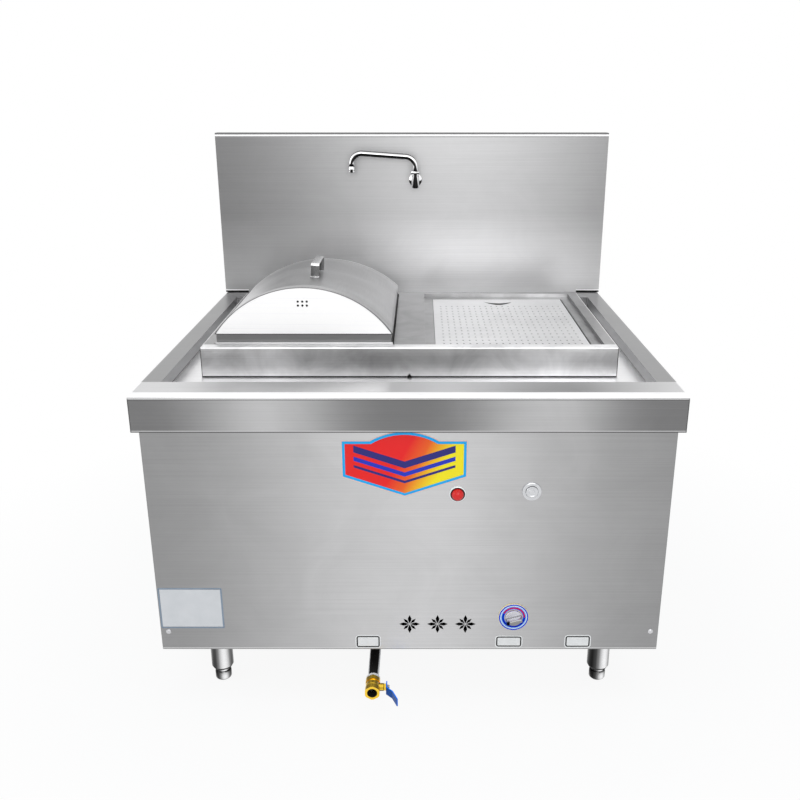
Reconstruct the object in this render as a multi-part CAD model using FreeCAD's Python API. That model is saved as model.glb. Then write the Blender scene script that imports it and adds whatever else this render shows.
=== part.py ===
import FreeCAD, Part
import math
import os
from FreeCAD import Vector

# Gas-fired rice noodle roll steamer: a stainless cabinet on four legs, with a
# sunken basin in its worktop, a raised steam platform with two wells, a
# lift-off arched lid, a back-splash with a swing tap, and a drain valve.
# Millimetres, +Z up, front towards -Y. The origin is on the floor, in the
# middle of the box that the whole machine fills.

# ---- Driving dimensions -----------------------------------------------------

# Worktop and back-splash
WIDTH = 1200.0              # worktop, left to right
DEPTH = 1050.0              # worktop, front apron to back apron
WORK_HEIGHT = 800.0         # floor to the rim
SHEET = 1.5                 # stainless sheet of the casing
APRON_DROP = 89.0
BULLNOSE_R = 12.0
RIM_SIDE = 52.0
RIM_FRONT = 80.0
RIM_BACK = 78.0             # rim between the basin and the splash
BASIN_DEPTH = 30.0
SPLASH_HEIGHT = 489.0
SPLASH_THICK = 40.0
SPLASH_INSET = 3.0          # splash is this much narrower than the rim, each side
SPLASH_RETURN = 18.0        # flange folded inwards round its open back

# Steam platform and its two wells
PLATFORM_FRONT = 207.0      # from the apron's face
PLATFORM_RISE = 44.0        # above the rim
PLATFORM_EDGE_R = 5.0
DIVIDER = 74.0              # strip between the wells
CHANNEL = 59.0              # basin's side wall to the platform
WELL_FRONT = 23.0           # front strip of the platform
WELL_BACK = 19.0            # strip behind the wells
WELL_SIDE = 29.0            # strip outside each well
WELL_LENGTH = 550.0
LEDGE_DROP = 10.0           # platform top down to the ledge
LEDGE_SIDE = 24.0
LEDGE_END = 28.0
SEAT_DROP = 8.0             # ledge down to the lip that carries the plate
LIP = 14.0
WEEP_WIDTH = 14.0           # notch that lets the basin drain into the tank
WEEP_HEIGHT = 10.0

# Perforated plates
PLATE_GAP = 1.0             # play round a plate in its recess
PLATE_SHEET = 1.5
HOLE = 5.0
HOLE_PITCH_X = 35.0
HOLE_PITCH_Y = 97.5
HOLE_SIDE = 25.0            # bare margin at the plate's sides, at least
HOLE_FRONT = 14.0           # plate's front edge to the first row
HOLE_BACK = 85.0            # bare margin behind the last row, at least
FINGER_WIDTH = 80.0
FINGER_FRONT_SAG = 36.0
FINGER_BACK_SAG = 16.0
FINGER_INSET = 34.0         # plate's back edge to the slot's two ends
SEAT_GAP = 0.3              # under each piece that lifts off
PLATE_LIFT = 40.0

# Arched lid
LID_PLAY = 2.5              # lid to the well's wall
LID_SKIRT = 35.0
LID_SHEET = 1.5
LID_FRONT_RISE = 110.0
LID_BACK_RISE = 80.0
LID_FOOT = 14.0             # stepped foot of the skirt
LID_STEP = 3.0
LID_HEM = 12.0              # inward flange that the arch is welded to
VENT_HOLE_R = 2.7
VENT_PITCH_X = 10.4
VENT_PITCH_Z = 9.3
VENT_ABOVE = 67.5           # lower row of vents above the arch's chord
GRIP_WIDTH = 21.0
GRIP_OFFSET = 12.0          # grip right of the crown, round the arch
GRIP_LENGTH = 112.0
GRIP_RISE = 35.0
GRIP_SHEET = 3.0
GRIP_FOOT = 14.0
GRIP_FROM_FRONT = 166.0     # lid's front edge to the grip's front leg

# Cabinet
BODY_INSET = 13.0           # casing behind the apron's face, all round
BODY_TOP_LAP = 45.0         # casing runs up behind the apron by this much
LEG_HEIGHT = 154.0          # floor to the casing
CORNER_FOLD = 22.0          # front and back panels wrap round the sides
PANEL_HEM = 15.0
FOLD_R = 3.0
POST = 40.0                 # angle iron of the frame
POST_THICK = 3.0
RAIL = 30.0
RAIL_THICK = 3.0

# Legs and feet
LEG_FROM_SIDE = 126.0       # worktop's side to the leg's axis
LEG_FROM_FACE = 117.0       # apron's face to the leg's axis, front and back
LEG_R = 27.0
LEG_SIDES = 20
LEG_FLANGE = 90.0
LEG_FLANGE_THICK = 4.0
LEG_END = 41.0              # floor to the end of the tube
COLLAR = 6.0
COLLAR_R = 24.0
FOOT_R = 20.0
FOOT_FACE_R = 15.0
FOOT_BEVEL = 6.0
STEM_R = 6.0
STEM_SIDES = 8              # flats that stand for the stem's thread
STEM_LENGTH = 66.0
RUNNING_FIT = 0.05          # radial clearance of shafts that turn or slide

# Front panel fittings: the buttons measured from the rim down, the rest from the casing's foot up
RED_X = 108.6
RED_DROP = 240.0
RED_BEZEL_R = 19.0
RED_CAP_R = 13.6
RED_PROUD = 13.0
POWER_X = 273.6
POWER_DROP = 234.0
POWER_BEZEL_R = 22.0
POWER_CAP_R = 13.5
POWER_PROUD = 2.5
BEZEL_THICK = 4.0
BEZEL_WEB = 1.0             # bezel's floor behind the cap
BUTTON_TRAVEL = 2.0
BUTTON_BARREL_R = 11.0
BARREL_SIDES = 12
BUTTON_BARREL = 34.0
BUTTON_NUT_R = 15.0
BUTTON_NUT = 5.0
PLUNGER_R = 4.0
PLUNGER = 18.0              # bezel's face to the plunger's end, button out
CAP_SIDES = 20
CAP_GAP = 0.5               # round and behind a push cap
VENT_X = 0.4                # first of three flower vents
VENT_SPACING = 65.5
VENT_UP = 69.0              # casing's foot to the vents' centres
VENT_COUNT = 3
PETAL_LONG = 24.5
PETAL_SHORT = 20.5
PETAL_WIDE = 8.8
PETAL_SLIM = 7.0
PETAL_HUB = 1.5
KNOB_X = 244.0
KNOB_UP = 89.0              # casing's foot to the knob's axis
KNOB_RING_R = 35.5
KNOB_RING_THICK = 3.0
KNOB_R = 20.0
KNOB_BASE = 6.0
KNOB_DEPTH = 22.0
KNOB_BAR = 9.0
KNOB_SHAFT_R = 4.0
KNOB_SIDES = 24
SHAFT_PLAY = 1.0            # round the shaft in the panel and the ring
KNOB_GAP = 0.5
KNOB_REST_ANGLE = 75.0      # grip bar from upright, pointer to the lower left
SCREW_FROM_SIDE = 19.0      # casing's side to the screw
SCREW_UP = 49.0             # casing's foot to the screw
SCREW_R = 6.0
SCREW_HEAD = 2.5

# Steam tank, burner and gas train
TANK_SIDE = 15.0            # platform's wall to the tank's wall
TANK_DEPTH = 208.0
TANK_WALL = 2.0
TANK_FLANGE = 12.0
SHROUD_DROP = 190.0         # burner shroud below the tank
SHROUD_SIDE = 40.0          # tank's wall to the shroud's wall, sides and back
RISER_GAP = 6.0             # drain riser to the rail behind it
SHROUD_SHEET = 1.2
BURNER_TUBES = 6
BURNER_TUBE_R = 16.0
BURNER_SIDES = 8
BURNER_DROP = 120.0         # tank's floor to the burner tubes' axes
BURNER_MARGIN = 60.0        # burner tube's end to the shroud's wall
MANIFOLD_R = 14.0
GAS_PIPE_R = 10.5
GAS_FROM_SIDE = 189.0       # casing's side to the gas inlet
FEED_X = 150.0              # gas feed's rise, clear of the water riser
PIPE_WALL = 2.0
GAS_INSET = 90.0            # panel's face to the gas pipe's axis
WATER_X = 236.0
WATER_INSET = 150.0
WATER_PIPE_R = 10.5
WATER_RISE = 130.0          # tank's floor to the inlet's axis
PIPE_BEND_R = 28.0
PIPE_PLAY = 0.5             # round a pipe where it passes a panel
NIPPLE_DROP = 34.0          # inlet nipples below the casing
VALVE_BLOCK = (54.0, 62.0, 58.0)    # gas cock: wide, deep, tall
VALVE_NECK_R = 13.5
SHAFT_DEPTH = 14.0          # knob shaft's bore in the block
CONTROL_BOX = (180.0, 70.0, 130.0)
CONTROL_FROM_SIDE = 167.0   # casing's side to the box
CONTROL_DROP = 250.0
IGNITER_R = 5.0
IGNITER_SIDES = 10
IGNITER_TUBE = 3            # burner tube under the igniter
FLUE_WIDTH = 260.0
FLUE_HEIGHT = 70.0
FLUE_COLLAR = 5.0           # how far the collar stands out at the back
LOUVRES = 4
LOUVRE_WIDTH = 190.0
LOUVRE_HEIGHT = 8.0
LOUVRE_PITCH = 26.0

# Swing tap
TAP_X = 10.5
TAP_OFF = 45.0              # splash face to the tap's axis
TAP_FOOT = 329.0            # tap body above the rim
TAP_BODY = 43.0
TAP_BODY_R = 11.5
TAP_FLANGE_R = 20.0
TAP_FLANGE = 6.0
TAP_SHANK_R = 9.0
TAP_NUT_AF = 24.0
TAP_BACK_NUT_AF = 30.0
TAP_NUT = 8.0
SPOUT_R = 8.0
SPOUT_REACH = 192.0
SPOUT_RISE = 40.5           # nut's top to the line of the spout at the tap
SPOUT_SLOPE = 4.1           # degrees
SPOUT_BEND_R = 33.0
SPOUT_TIP_R = 30.0
SPOUT_SOCKET = 16.0
NOZZLE_R = 10.0
NOZZLE = 18.0
NOZZLE_BORE_R = 7.0

# Drain pipe and its ball valve
DRAIN_X = -87.0
DRAIN_HEIGHT = 79.0
DRAIN_PIPE_R = 13.45
DRAIN_PIPE_WALL = 2.6
DRAIN_RISER = 262.0         # apron's face to the pipe's riser
DRAIN_BEND_R = 38.0
VALVE_MOUTH = 53.0          # valve's mouth in front of the apron
VALVE_LENGTH = 46.0
VALVE_AF = 34.0
VALVE_HEX = 13.0
VALVE_WAIST_R = 15.5
VALVE_BORE_R = 12.0
VALVE_BORE = 11.0
PORT_R = 7.0
BALL_R = 10.0
BALL_GAP = 0.3
BALL_HALF = 8.2             # half of the ball's width along its stem
PIPE_LAP = 10.0             # pipe screwed into the valve by this much
STEM_AHEAD = 30.0           # valve stem in front of the apron
VALVE_STEM_R = 4.0
BOSS_R = 9.0
BOSS = 27.0                 # valve's axis to the boss's face
PACKING_AF = 15.0
PACKING = 5.0
LEVER_REACH = 87.0          # lever's tip in front of the apron
LEVER_WIDTH = 20.0
LEVER_THICK = 2.5
LEVER_KNEE = 14.0           # stem to the lever's first bend
LEVER_STEP = 14.5           # lever steps outwards by this much
LEVER_RUN = 15.0
LEVER_FLARE = 12.0
LEVER_TAIL = 9.0
LEVER_NUT_AF = 10.0
LEVER_NUT = 4.0
STEM_END = 1.5              # stem beyond the lever nut

# ---- Places that follow from the dimensions ---------------------------------

FRONT = (LEVER_REACH - DEPTH) / 2           # apron's face
BACK = FRONT + DEPTH
SPLASH_FACE = BACK - SPLASH_THICK
BASIN_FLOOR = WORK_HEIGHT - BASIN_DEPTH
BASIN_X = WIDTH / 2 - RIM_SIDE
BASIN_FRONT = FRONT + RIM_FRONT
BASIN_BACK = SPLASH_FACE - RIM_BACK
PLATFORM_TOP = WORK_HEIGHT + PLATFORM_RISE
PLATFORM_Y0 = FRONT + PLATFORM_FRONT
PLATFORM_WIDTH = 2 * (BASIN_X - CHANNEL)
PLATFORM_Y1 = PLATFORM_Y0 + WELL_FRONT + WELL_LENGTH + WELL_BACK
WELL_X0 = DIVIDER / 2
WELL_WIDTH = PLATFORM_WIDTH / 2 - WELL_X0 - WELL_SIDE
WELL_CENTRE_X = WELL_X0 + WELL_WIDTH / 2
WELL_Y0 = PLATFORM_Y0 + WELL_FRONT
WELL_Y1 = WELL_Y0 + WELL_LENGTH
LEDGE_Z = PLATFORM_TOP - LEDGE_DROP
LIP_Z = LEDGE_Z - SEAT_DROP
PANEL_Y = FRONT + BODY_INSET
BODY_X = WIDTH / 2 - BODY_INSET
BODY_BACK = BACK - BODY_INSET
BODY_TOP = WORK_HEIGHT - APRON_DROP + BODY_TOP_LAP
TANK_TOP = BASIN_FLOOR - SHEET
TANK_FLOOR = TANK_TOP - TANK_DEPTH
TANK_X = PLATFORM_WIDTH / 2 - TANK_SIDE
TANK_Y0 = PLATFORM_Y0 + TANK_SIDE
TANK_Y1 = PLATFORM_Y1 - TANK_SIDE
SHROUD_X = TANK_X - SHROUD_SIDE
SHROUD_Y0 = FRONT + DRAIN_RISER + DRAIN_PIPE_R + RISER_GAP + RAIL
SHROUD_Y1 = TANK_Y1 - SHROUD_SIDE
SHROUD_Z = TANK_FLOOR - SHROUD_DROP
BURNER_Z = TANK_FLOOR - BURNER_DROP
BURNER_X = SHROUD_X - BURNER_MARGIN
TUBE_PITCH = 2 * BURNER_X / (BURNER_TUBES - 1)
IGNITER_X = IGNITER_TUBE * TUBE_PITCH - BURNER_X
FLUE_Z = TANK_FLOOR - RAIL - FLUE_HEIGHT
FLOOR_Z = LEG_HEIGHT + SHEET                # underside of the casing's floor
LEG_X = WIDTH / 2 - LEG_FROM_SIDE
KNOB_Z = LEG_HEIGHT + KNOB_UP
RED_Z = WORK_HEIGHT - RED_DROP
POWER_Z = WORK_HEIGHT - POWER_DROP
GAS_X = BODY_X - GAS_FROM_SIDE
GAS_Y = PANEL_Y + GAS_INSET
TAP_Y = SPLASH_FACE - TAP_OFF
TAP_Z = WORK_HEIGHT + TAP_FOOT
TAP_NUT_Z = TAP_Z + TAP_BODY
SPOUT_LINE_Z = TAP_NUT_Z + SPOUT_RISE
TIP_X = TAP_X - SPOUT_REACH
TIP_LINE_Z = SPOUT_LINE_Z + SPOUT_REACH * math.tan(math.radians(SPOUT_SLOPE))
NOZZLE_TOP = TIP_LINE_Z - SPOUT_TIP_R * math.tan(math.radians(90 + SPOUT_SLOPE) / 2)
VALVE_FRONT = FRONT - VALVE_MOUTH
VALVE_BACK = VALVE_FRONT + VALVE_LENGTH
STEM_Y = FRONT - STEM_AHEAD
PLATE_WIDTH = WELL_WIDTH - 2 * LEDGE_SIDE - 2 * PLATE_GAP
PLATE_LENGTH = WELL_LENGTH - 2 * LEDGE_END - 2 * PLATE_GAP
HOLE_COLUMNS = 1 + int((PLATE_WIDTH - 2 * HOLE_SIDE) / HOLE_PITCH_X)
HOLE_ROWS = 1 + int((PLATE_LENGTH - HOLE_FRONT - HOLE_BACK) / HOLE_PITCH_Y)
LID_WIDTH = WELL_WIDTH - 2 * LID_PLAY
LID_LENGTH = WELL_LENGTH - 2 * LID_PLAY
LID_Z = LEDGE_Z + SEAT_GAP
LID_X = -WELL_CENTRE_X
LID_Y0 = WELL_Y0 + LID_PLAY
LID_Y1 = LID_Y0 + LID_LENGTH
ARCH_Z = LID_Z + LID_SKIRT

BEND_STEPS = 4              # chords in each pipe bend
PIPE_SIDES = 12
ARCH_STEPS = 24             # flats round the lid's arch
X_AXIS = Vector(1, 0, 0)
Y_AXIS = Vector(0, 1, 0)
Z_AXIS = Vector(0, 0, 1)


# ---- Shared shapes ----------------------------------------------------------

def block(x0, x1, y0, y1, z0, z1):
    """A box between two corners."""
    return Part.makeBox(x1 - x0, y1 - y0, z1 - z0, Vector(x0, y0, z0))


def rod(radius, length, start, axis=Z_AXIS):
    """A cylinder from start along axis."""
    return Part.makeCylinder(radius, length, start, axis)


def hexagon(across_flats, length, start, axis=Z_AXIS):
    """A hexagon bar from start along axis."""
    radius = across_flats / math.sqrt(3)
    corners = [Vector(radius * math.cos(math.pi / 3 * i), radius * math.sin(math.pi / 3 * i), 0) for i in range(7)]
    bar = Part.Face(Part.makePolygon(corners)).extrude(Vector(0, 0, length))
    bar.Placement = FreeCAD.Placement(start, FreeCAD.Rotation(Z_AXIS, axis))
    return bar


def skinned(rings):
    """A solid skinned with flat faces over closed rings of points, one ring after another."""
    faces = [Part.Face(Part.makePolygon(loop + loop[:1])) for loop in (rings[0], rings[-1])]
    for lower, upper in zip(rings, rings[1:]):
        count = len(lower)
        for i in range(count):
            a, b, c, d = lower[i], lower[(i + 1) % count], upper[(i + 1) % count], upper[i]
            if abs((b - a).cross(c - a).dot(d - a)) < 1e-6 * (b - a).Length * (c - a).Length:
                faces.append(Part.Face(Part.makePolygon([a, b, c, d, a])))
            else:
                faces.append(Part.Face(Part.makePolygon([a, b, c, a])))
                faces.append(Part.Face(Part.makePolygon([a, c, d, a])))
    body = Part.Solid(Part.makeShell(faces))
    return body if body.Volume > 0 else body.reversed()


def polygon_ring(radius, height, sides):
    """Corners of a regular polygon whose flats touch a circle of the given radius."""
    reach = radius / math.cos(math.pi / sides)
    return [Vector(reach * math.cos(2 * math.pi * (i + 0.5) / sides),
                   reach * math.sin(2 * math.pi * (i + 0.5) / sides), height) for i in range(sides)]


def faceted(profile, start, axis, sides=18):
    """A turned body with flat facets, from (radius, height) pairs that rise from bottom to top."""
    body = skinned([polygon_ring(radius, height, sides) for radius, height in profile])
    body.Placement = FreeCAD.Placement(start, FreeCAD.Rotation(Z_AXIS, axis))
    return body


def faceted_rod(radius, length, start, axis=Z_AXIS, sides=18):
    """A round bar with flat facets."""
    return faceted([(radius, 0), (radius, length)], start, axis, sides)


def route(points, radii):
    """Points of straight runs joined by bends, one radius for each inner point."""
    path = [points[0]]
    for before, corner, after, radius in zip(points, points[1:], points[2:], radii):
        arriving = (corner - before).normalize()
        leaving = (after - corner).normalize()
        turn = arriving.getAngle(leaving)
        bisector = (leaving - arriving).normalize()
        centre = corner + bisector * (radius / math.cos(turn / 2))
        across = bisector.cross(arriving).normalize()
        spoke = corner - arriving * (radius * math.tan(turn / 2)) - centre
        for step in range(BEND_STEPS + 1):
            angle = math.degrees(turn) * step / BEND_STEPS
            path.append(centre + FreeCAD.Rotation(across, -angle).multVec(spoke))
    return path + [points[-1]]


def pipe(points, radii, outer, inner=0.0, sides=PIPE_SIDES):
    """A pipe with flat facets along a route, open from end to end where it has a bore."""
    path = Part.makePolygon(route(points, radii))
    heading = (points[1] - points[0]).normalize()

    def swept(radius):
        corners = polygon_ring(radius, 0, sides)
        section = Part.makePolygon(corners + corners[:1])
        section.Placement = FreeCAD.Placement(points[0], FreeCAD.Rotation(Z_AXIS, heading))
        return path.makePipeShell([section], True, False, 1)

    return swept(outer).cut(swept(inner)) if inner else swept(outer)


def strip(points, width, thick, across, up):
    """A flat bar bent along points: its width lies along across, and it stands proud towards up."""
    half = across * (width / 2)
    start = points[0]
    corners = [start - half, start + half, start + half + up * thick, start - half + up * thick]
    section = Part.makePolygon(corners + corners[:1])
    path = Part.makePolygon(points)
    return path.makePipeShell([section], True, False, 1)


def edges_along(shape, axis, keep):
    """Straight edges of a shape that run along axis and whose middle passes keep."""
    chosen = []
    for edge in shape.Edges:
        if isinstance(edge.Curve, Part.Line) and abs(abs(edge.Curve.Direction.dot(axis)) - 1) < 1e-6:
            if keep(edge.CenterOfMass):
                chosen.append(edge)
    return chosen


def rounded_top(x0, x1, y0, y1, z0, z1, radius):
    """A box whose four upper edges are rounded over, mitred at the corners."""
    body = block(x0, x1, y0, y1, z0, z1)
    top = [edge for edge in body.Edges if edge.BoundBox.ZMin > z1 - 1e-3]
    return body.makeFillet(radius, top)


def tray(x0, x1, y0, y1, z0, z1, thick):
    """An open box of sheet: four walls and a floor, outside the given hollow."""
    outside = block(x0 - thick, x1 + thick, y0 - thick, y1 + thick, z0 - thick, z1)
    return outside.cut(block(x0, x1, y0, y1, z0, z1 + thick))


def mirrored(shape):
    """The left-hand copy of a right-hand shape."""
    return shape.mirror(Vector(0, 0, 0), X_AXIS)


# ---- Worktop, back-splash and steam platform --------------------------------

def worktop():
    """Pressed top: rounded rim, hemmed apron, and the sunken basin with its cut-out for steam."""
    half = WIDTH / 2
    skirt_z = WORK_HEIGHT - APRON_DROP
    skin = rounded_top(-half, half, FRONT, BACK, skirt_z, WORK_HEIGHT, BULLNOSE_R)
    hollow = rounded_top(-half + SHEET, half - SHEET, FRONT + SHEET, BACK - SHEET,
                         skirt_z + SHEET, WORK_HEIGHT - SHEET, BULLNOSE_R - SHEET)
    mouth = block(-BODY_X, BODY_X, PANEL_Y, BODY_BACK, skirt_z - SHEET, skirt_z + 2 * SHEET)
    top = skin.cut(hollow).cut(mouth)
    basin = block(-BASIN_X, BASIN_X, BASIN_FRONT, BASIN_BACK, BASIN_FLOOR, WORK_HEIGHT + SHEET)
    top = top.cut(basin)
    top = top.fuse(tray(-BASIN_X, BASIN_X, BASIN_FRONT, BASIN_BACK, BASIN_FLOOR, WORK_HEIGHT, SHEET))
    cut_out = block(-TANK_X + TANK_WALL, TANK_X - TANK_WALL, TANK_Y0 + TANK_WALL, TANK_Y1 - TANK_WALL,
                    BASIN_FLOOR - 2 * SHEET, WORK_HEIGHT)
    return top.cut(cut_out).removeSplitter()


def backsplash():
    """Folded box panel standing on the back of the rim, open behind inside a return flange."""
    half = WIDTH / 2 - SPLASH_INSET
    top = WORK_HEIGHT + SPLASH_HEIGHT
    panel = block(-half, half, SPLASH_FACE, BACK, WORK_HEIGHT, top)
    hollow = block(-half + SHEET, half - SHEET, SPLASH_FACE + SHEET, BACK - SHEET,
                   WORK_HEIGHT + SHEET, top - SHEET)
    opening = block(-half + SPLASH_RETURN, half - SPLASH_RETURN, BACK - 2 * SHEET, BACK + SHEET,
                    WORK_HEIGHT + SPLASH_RETURN, top - SPLASH_RETURN)
    shank_hole = faceted_rod(TAP_SHANK_R, 3 * SHEET, Vector(TAP_X, SPLASH_FACE - SHEET, TAP_Z + TAP_BODY / 2), Y_AXIS)
    return panel.cut(hollow).cut(opening).cut(shank_hole)


def well_parts(side):
    """The sheet added round one well, and the hollows cut through it."""
    x0 = WELL_X0 if side > 0 else -WELL_X0 - WELL_WIDTH
    x1 = x0 + WELL_WIDTH
    rx0, rx1 = x0 + LEDGE_SIDE, x1 - LEDGE_SIDE
    ry0, ry1 = WELL_Y0 + LEDGE_END, WELL_Y1 - LEDGE_END
    pan = block(x0 - SHEET, x1 + SHEET, WELL_Y0 - SHEET, WELL_Y1 + SHEET, LEDGE_Z - SHEET, PLATFORM_TOP)
    seat = block(rx0 - SHEET, rx1 + SHEET, ry0 - SHEET, ry1 + SHEET, LIP_Z - SHEET, LEDGE_Z)
    hollow = block(x0, x1, WELL_Y0, WELL_Y1, LEDGE_Z, PLATFORM_TOP + SHEET)
    recess = block(rx0, rx1, ry0, ry1, LIP_Z, PLATFORM_TOP)
    mouth = block(rx0 + LIP, rx1 - LIP, ry0 + LIP, ry1 - LIP, LIP_Z - 2 * SHEET, PLATFORM_TOP)
    return pan.fuse(seat), [hollow, recess, mouth]


def steam_platform():
    """Raised cover over the tank, with two stepped wells and a weep notch at its foot."""
    half = PLATFORM_WIDTH / 2
    skin = rounded_top(-half, half, PLATFORM_Y0, PLATFORM_Y1, BASIN_FLOOR, PLATFORM_TOP, PLATFORM_EDGE_R)
    inside = block(-half + SHEET, half - SHEET, PLATFORM_Y0 + SHEET, PLATFORM_Y1 - SHEET,
                   BASIN_FLOOR, PLATFORM_TOP - SHEET)
    cover = skin.cut(inside)
    hollows = []
    for side in (-1, 1):
        pan, cuts = well_parts(side)
        cover = cover.fuse(pan)
        hollows += cuts
    for hollow in hollows:
        cover = cover.cut(hollow)
    notch = Part.Face(Part.makePolygon([
        Vector(-WEEP_WIDTH / 2, PLATFORM_Y0 - SHEET, BASIN_FLOOR),
        Vector(0, PLATFORM_Y0 - SHEET, BASIN_FLOOR + WEEP_HEIGHT),
        Vector(WEEP_WIDTH / 2, PLATFORM_Y0 - SHEET, BASIN_FLOOR),
        Vector(-WEEP_WIDTH / 2, PLATFORM_Y0 - SHEET, BASIN_FLOOR)])).extrude(Vector(0, 3 * SHEET, 0))
    return cover.cut(notch).removeSplitter()


def perforated_plate(side):
    """Steam plate: a sheet with turned-down edges, rows of holes and a finger slot."""
    centre = side * WELL_CENTRE_X
    x0, x1 = centre - PLATE_WIDTH / 2, centre + PLATE_WIDTH / 2
    y0 = WELL_Y0 + LEDGE_END + PLATE_GAP
    y1 = y0 + PLATE_LENGTH
    foot = LIP_Z + SEAT_GAP
    plate = block(x0, x1, y0, y1, foot, LEDGE_Z)
    plate = plate.cut(block(x0 + PLATE_SHEET, x1 - PLATE_SHEET, y0 + PLATE_SHEET, y1 - PLATE_SHEET,
                            foot, LEDGE_Z - PLATE_SHEET))
    punches = []
    for column in range(HOLE_COLUMNS):
        x = centre + (column - (HOLE_COLUMNS - 1) / 2) * HOLE_PITCH_X
        for row in range(HOLE_ROWS):
            y = y0 + HOLE_FRONT + row * HOLE_PITCH_Y
            punches.append(block(x - HOLE / 2, x + HOLE / 2, y - HOLE / 2, y + HOLE / 2,
                                 LEDGE_Z - 2 * PLATE_SHEET, LEDGE_Z + PLATE_SHEET))
    ends_y = y1 - FINGER_INSET
    z = LEDGE_Z - 2 * PLATE_SHEET
    left = Vector(centre - FINGER_WIDTH / 2, ends_y, z)
    right = Vector(centre + FINGER_WIDTH / 2, ends_y, z)
    front_arc = Part.Arc(left, Vector(centre, ends_y - FINGER_FRONT_SAG, z), right).toShape()
    back_arc = Part.Arc(right, Vector(centre, ends_y - FINGER_BACK_SAG, z), left).toShape()
    slot = Part.Face(Part.Wire([front_arc, back_arc])).extrude(Vector(0, 0, 3 * PLATE_SHEET))
    return plate.cut(Part.makeCompound(punches + [slot]))


# ---- Arched lid -------------------------------------------------------------

def arch_points(y, half, rise):
    """Points of the upright circle segment that spans the lid at one end."""
    radius = (half ** 2 + rise ** 2) / (2 * rise)
    reach = math.asin(half / radius)
    points = []
    for step in range(ARCH_STEPS + 1):
        angle = reach * (2 * step / ARCH_STEPS - 1)
        points.append(Vector(LID_X + radius * math.sin(angle), y, ARCH_Z + rise - radius * (1 - math.cos(angle))))
    return points


def arch_solid(inset, front_rise, back_rise):
    """The tapering hump between the lid's front and back arches."""
    half = LID_WIDTH / 2 - inset
    return skinned([arch_points(LID_Y0, half, front_rise), arch_points(LID_Y1, half, back_rise)])


def lid_skirt():
    """Square frame under the arch: a hemmed band with a stepped foot."""
    x0, x1 = LID_X - LID_WIDTH / 2, LID_X + LID_WIDTH / 2
    band = block(x0 + LID_STEP, x1 - LID_STEP, LID_Y0 + LID_STEP, LID_Y1 - LID_STEP, LID_Z, ARCH_Z)
    band = band.fuse(block(x0, x1, LID_Y0, LID_Y1, LID_Z, LID_Z + LID_FOOT))
    band = band.fuse(block(x0, x1, LID_Y0, LID_Y1, ARCH_Z - LID_SHEET, ARCH_Z))
    wall = LID_STEP + LID_SHEET
    band = band.cut(block(x0 + wall, x1 - wall, LID_Y0 + wall, LID_Y1 - wall, LID_Z, ARCH_Z - LID_SHEET))
    hem = LID_HEM
    return band.cut(block(x0 + hem, x1 - hem, LID_Y0 + hem, LID_Y1 - hem, LID_Z, ARCH_Z + LID_SHEET))


def lid_shell():
    """Rolled sheet that tapers from the tall front arch to the lower back arch."""
    outside = arch_solid(0, LID_FRONT_RISE, LID_BACK_RISE)
    inside = arch_solid(LID_SHEET * 2, LID_FRONT_RISE - LID_SHEET, LID_BACK_RISE - LID_SHEET)
    return outside.cut(inside)


def lid_end(y, vents):
    """End plate seated under the shell; the front one has six vent holes."""
    hump = arch_solid(2 * LID_SHEET, LID_FRONT_RISE - LID_SHEET, LID_BACK_RISE - LID_SHEET)
    plate = hump.common(block(LID_X - LID_WIDTH / 2, LID_X + LID_WIDTH / 2, y, y + LID_SHEET,
                              ARCH_Z, ARCH_Z + LID_FRONT_RISE + LID_BACK_RISE))
    if vents:
        for column in (-1, 0, 1):
            for row in (0, 1):
                centre = Vector(LID_X + column * VENT_PITCH_X, y - LID_SHEET,
                                ARCH_Z + VENT_ABOVE + row * VENT_PITCH_Z)
                plate = plate.cut(faceted_rod(VENT_HOLE_R, 3 * LID_SHEET, centre, Y_AXIS, 8))
    return plate


def crown_height(y):
    """Height of the lid's crown at a place along it."""
    share = (y - LID_Y0) / LID_LENGTH
    return ARCH_Z + LID_FRONT_RISE + (LID_BACK_RISE - LID_FRONT_RISE) * share


def lid_grip():
    """Bent strap beside the crown line, with its two feet turned outwards."""
    front = LID_Y0 + GRIP_FROM_FRONT
    back = front + GRIP_LENGTH
    sagitta = GRIP_WIDTH ** 2 / 8 / (LID_WIDTH / 2)
    top = crown_height(front) + GRIP_RISE
    points = [
        Vector(LID_X, front - GRIP_FOOT, crown_height(front - GRIP_FOOT) + sagitta / 4),
        Vector(LID_X, front, crown_height(front) + sagitta / 4),
        Vector(LID_X, front, top - GRIP_SHEET),
        Vector(LID_X, back, top - GRIP_SHEET),
        Vector(LID_X, back, crown_height(back) + sagitta / 4),
        Vector(LID_X, back + GRIP_FOOT, crown_height(back + GRIP_FOOT) + sagitta / 4)]
    grip = strip(points, GRIP_WIDTH, GRIP_SHEET, X_AXIS, Z_AXIS)
    rise = crown_height((front + back) / 2) - ARCH_Z
    radius = ((LID_WIDTH / 2) ** 2 + rise ** 2) / (2 * rise)
    grip.rotate(Vector(LID_X, 0, ARCH_Z + rise - radius), Y_AXIS, math.degrees(GRIP_OFFSET / radius))
    return grip


# ---- Casing and frame -------------------------------------------------------

def petal(length, width, angle, centre, outline):
    """One leaf of a flower vent, as a cutter through the front panel; outline is half of its shape."""
    span = length - PETAL_HUB
    around = [(0, 0)] + outline + [(1, 0)] + [(along, -across) for along, across in reversed(outline)] + [(0, 0)]
    corners = [Vector(PETAL_HUB + span * along, 0, width / 2 * across) for along, across in around]
    leaf = Part.Face(Part.makePolygon(corners)).extrude(Vector(0, 4 * SHEET, 0))
    leaf.rotate(Vector(0, 0, 0), Y_AXIS, angle)
    leaf.translate(centre)
    return leaf


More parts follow.
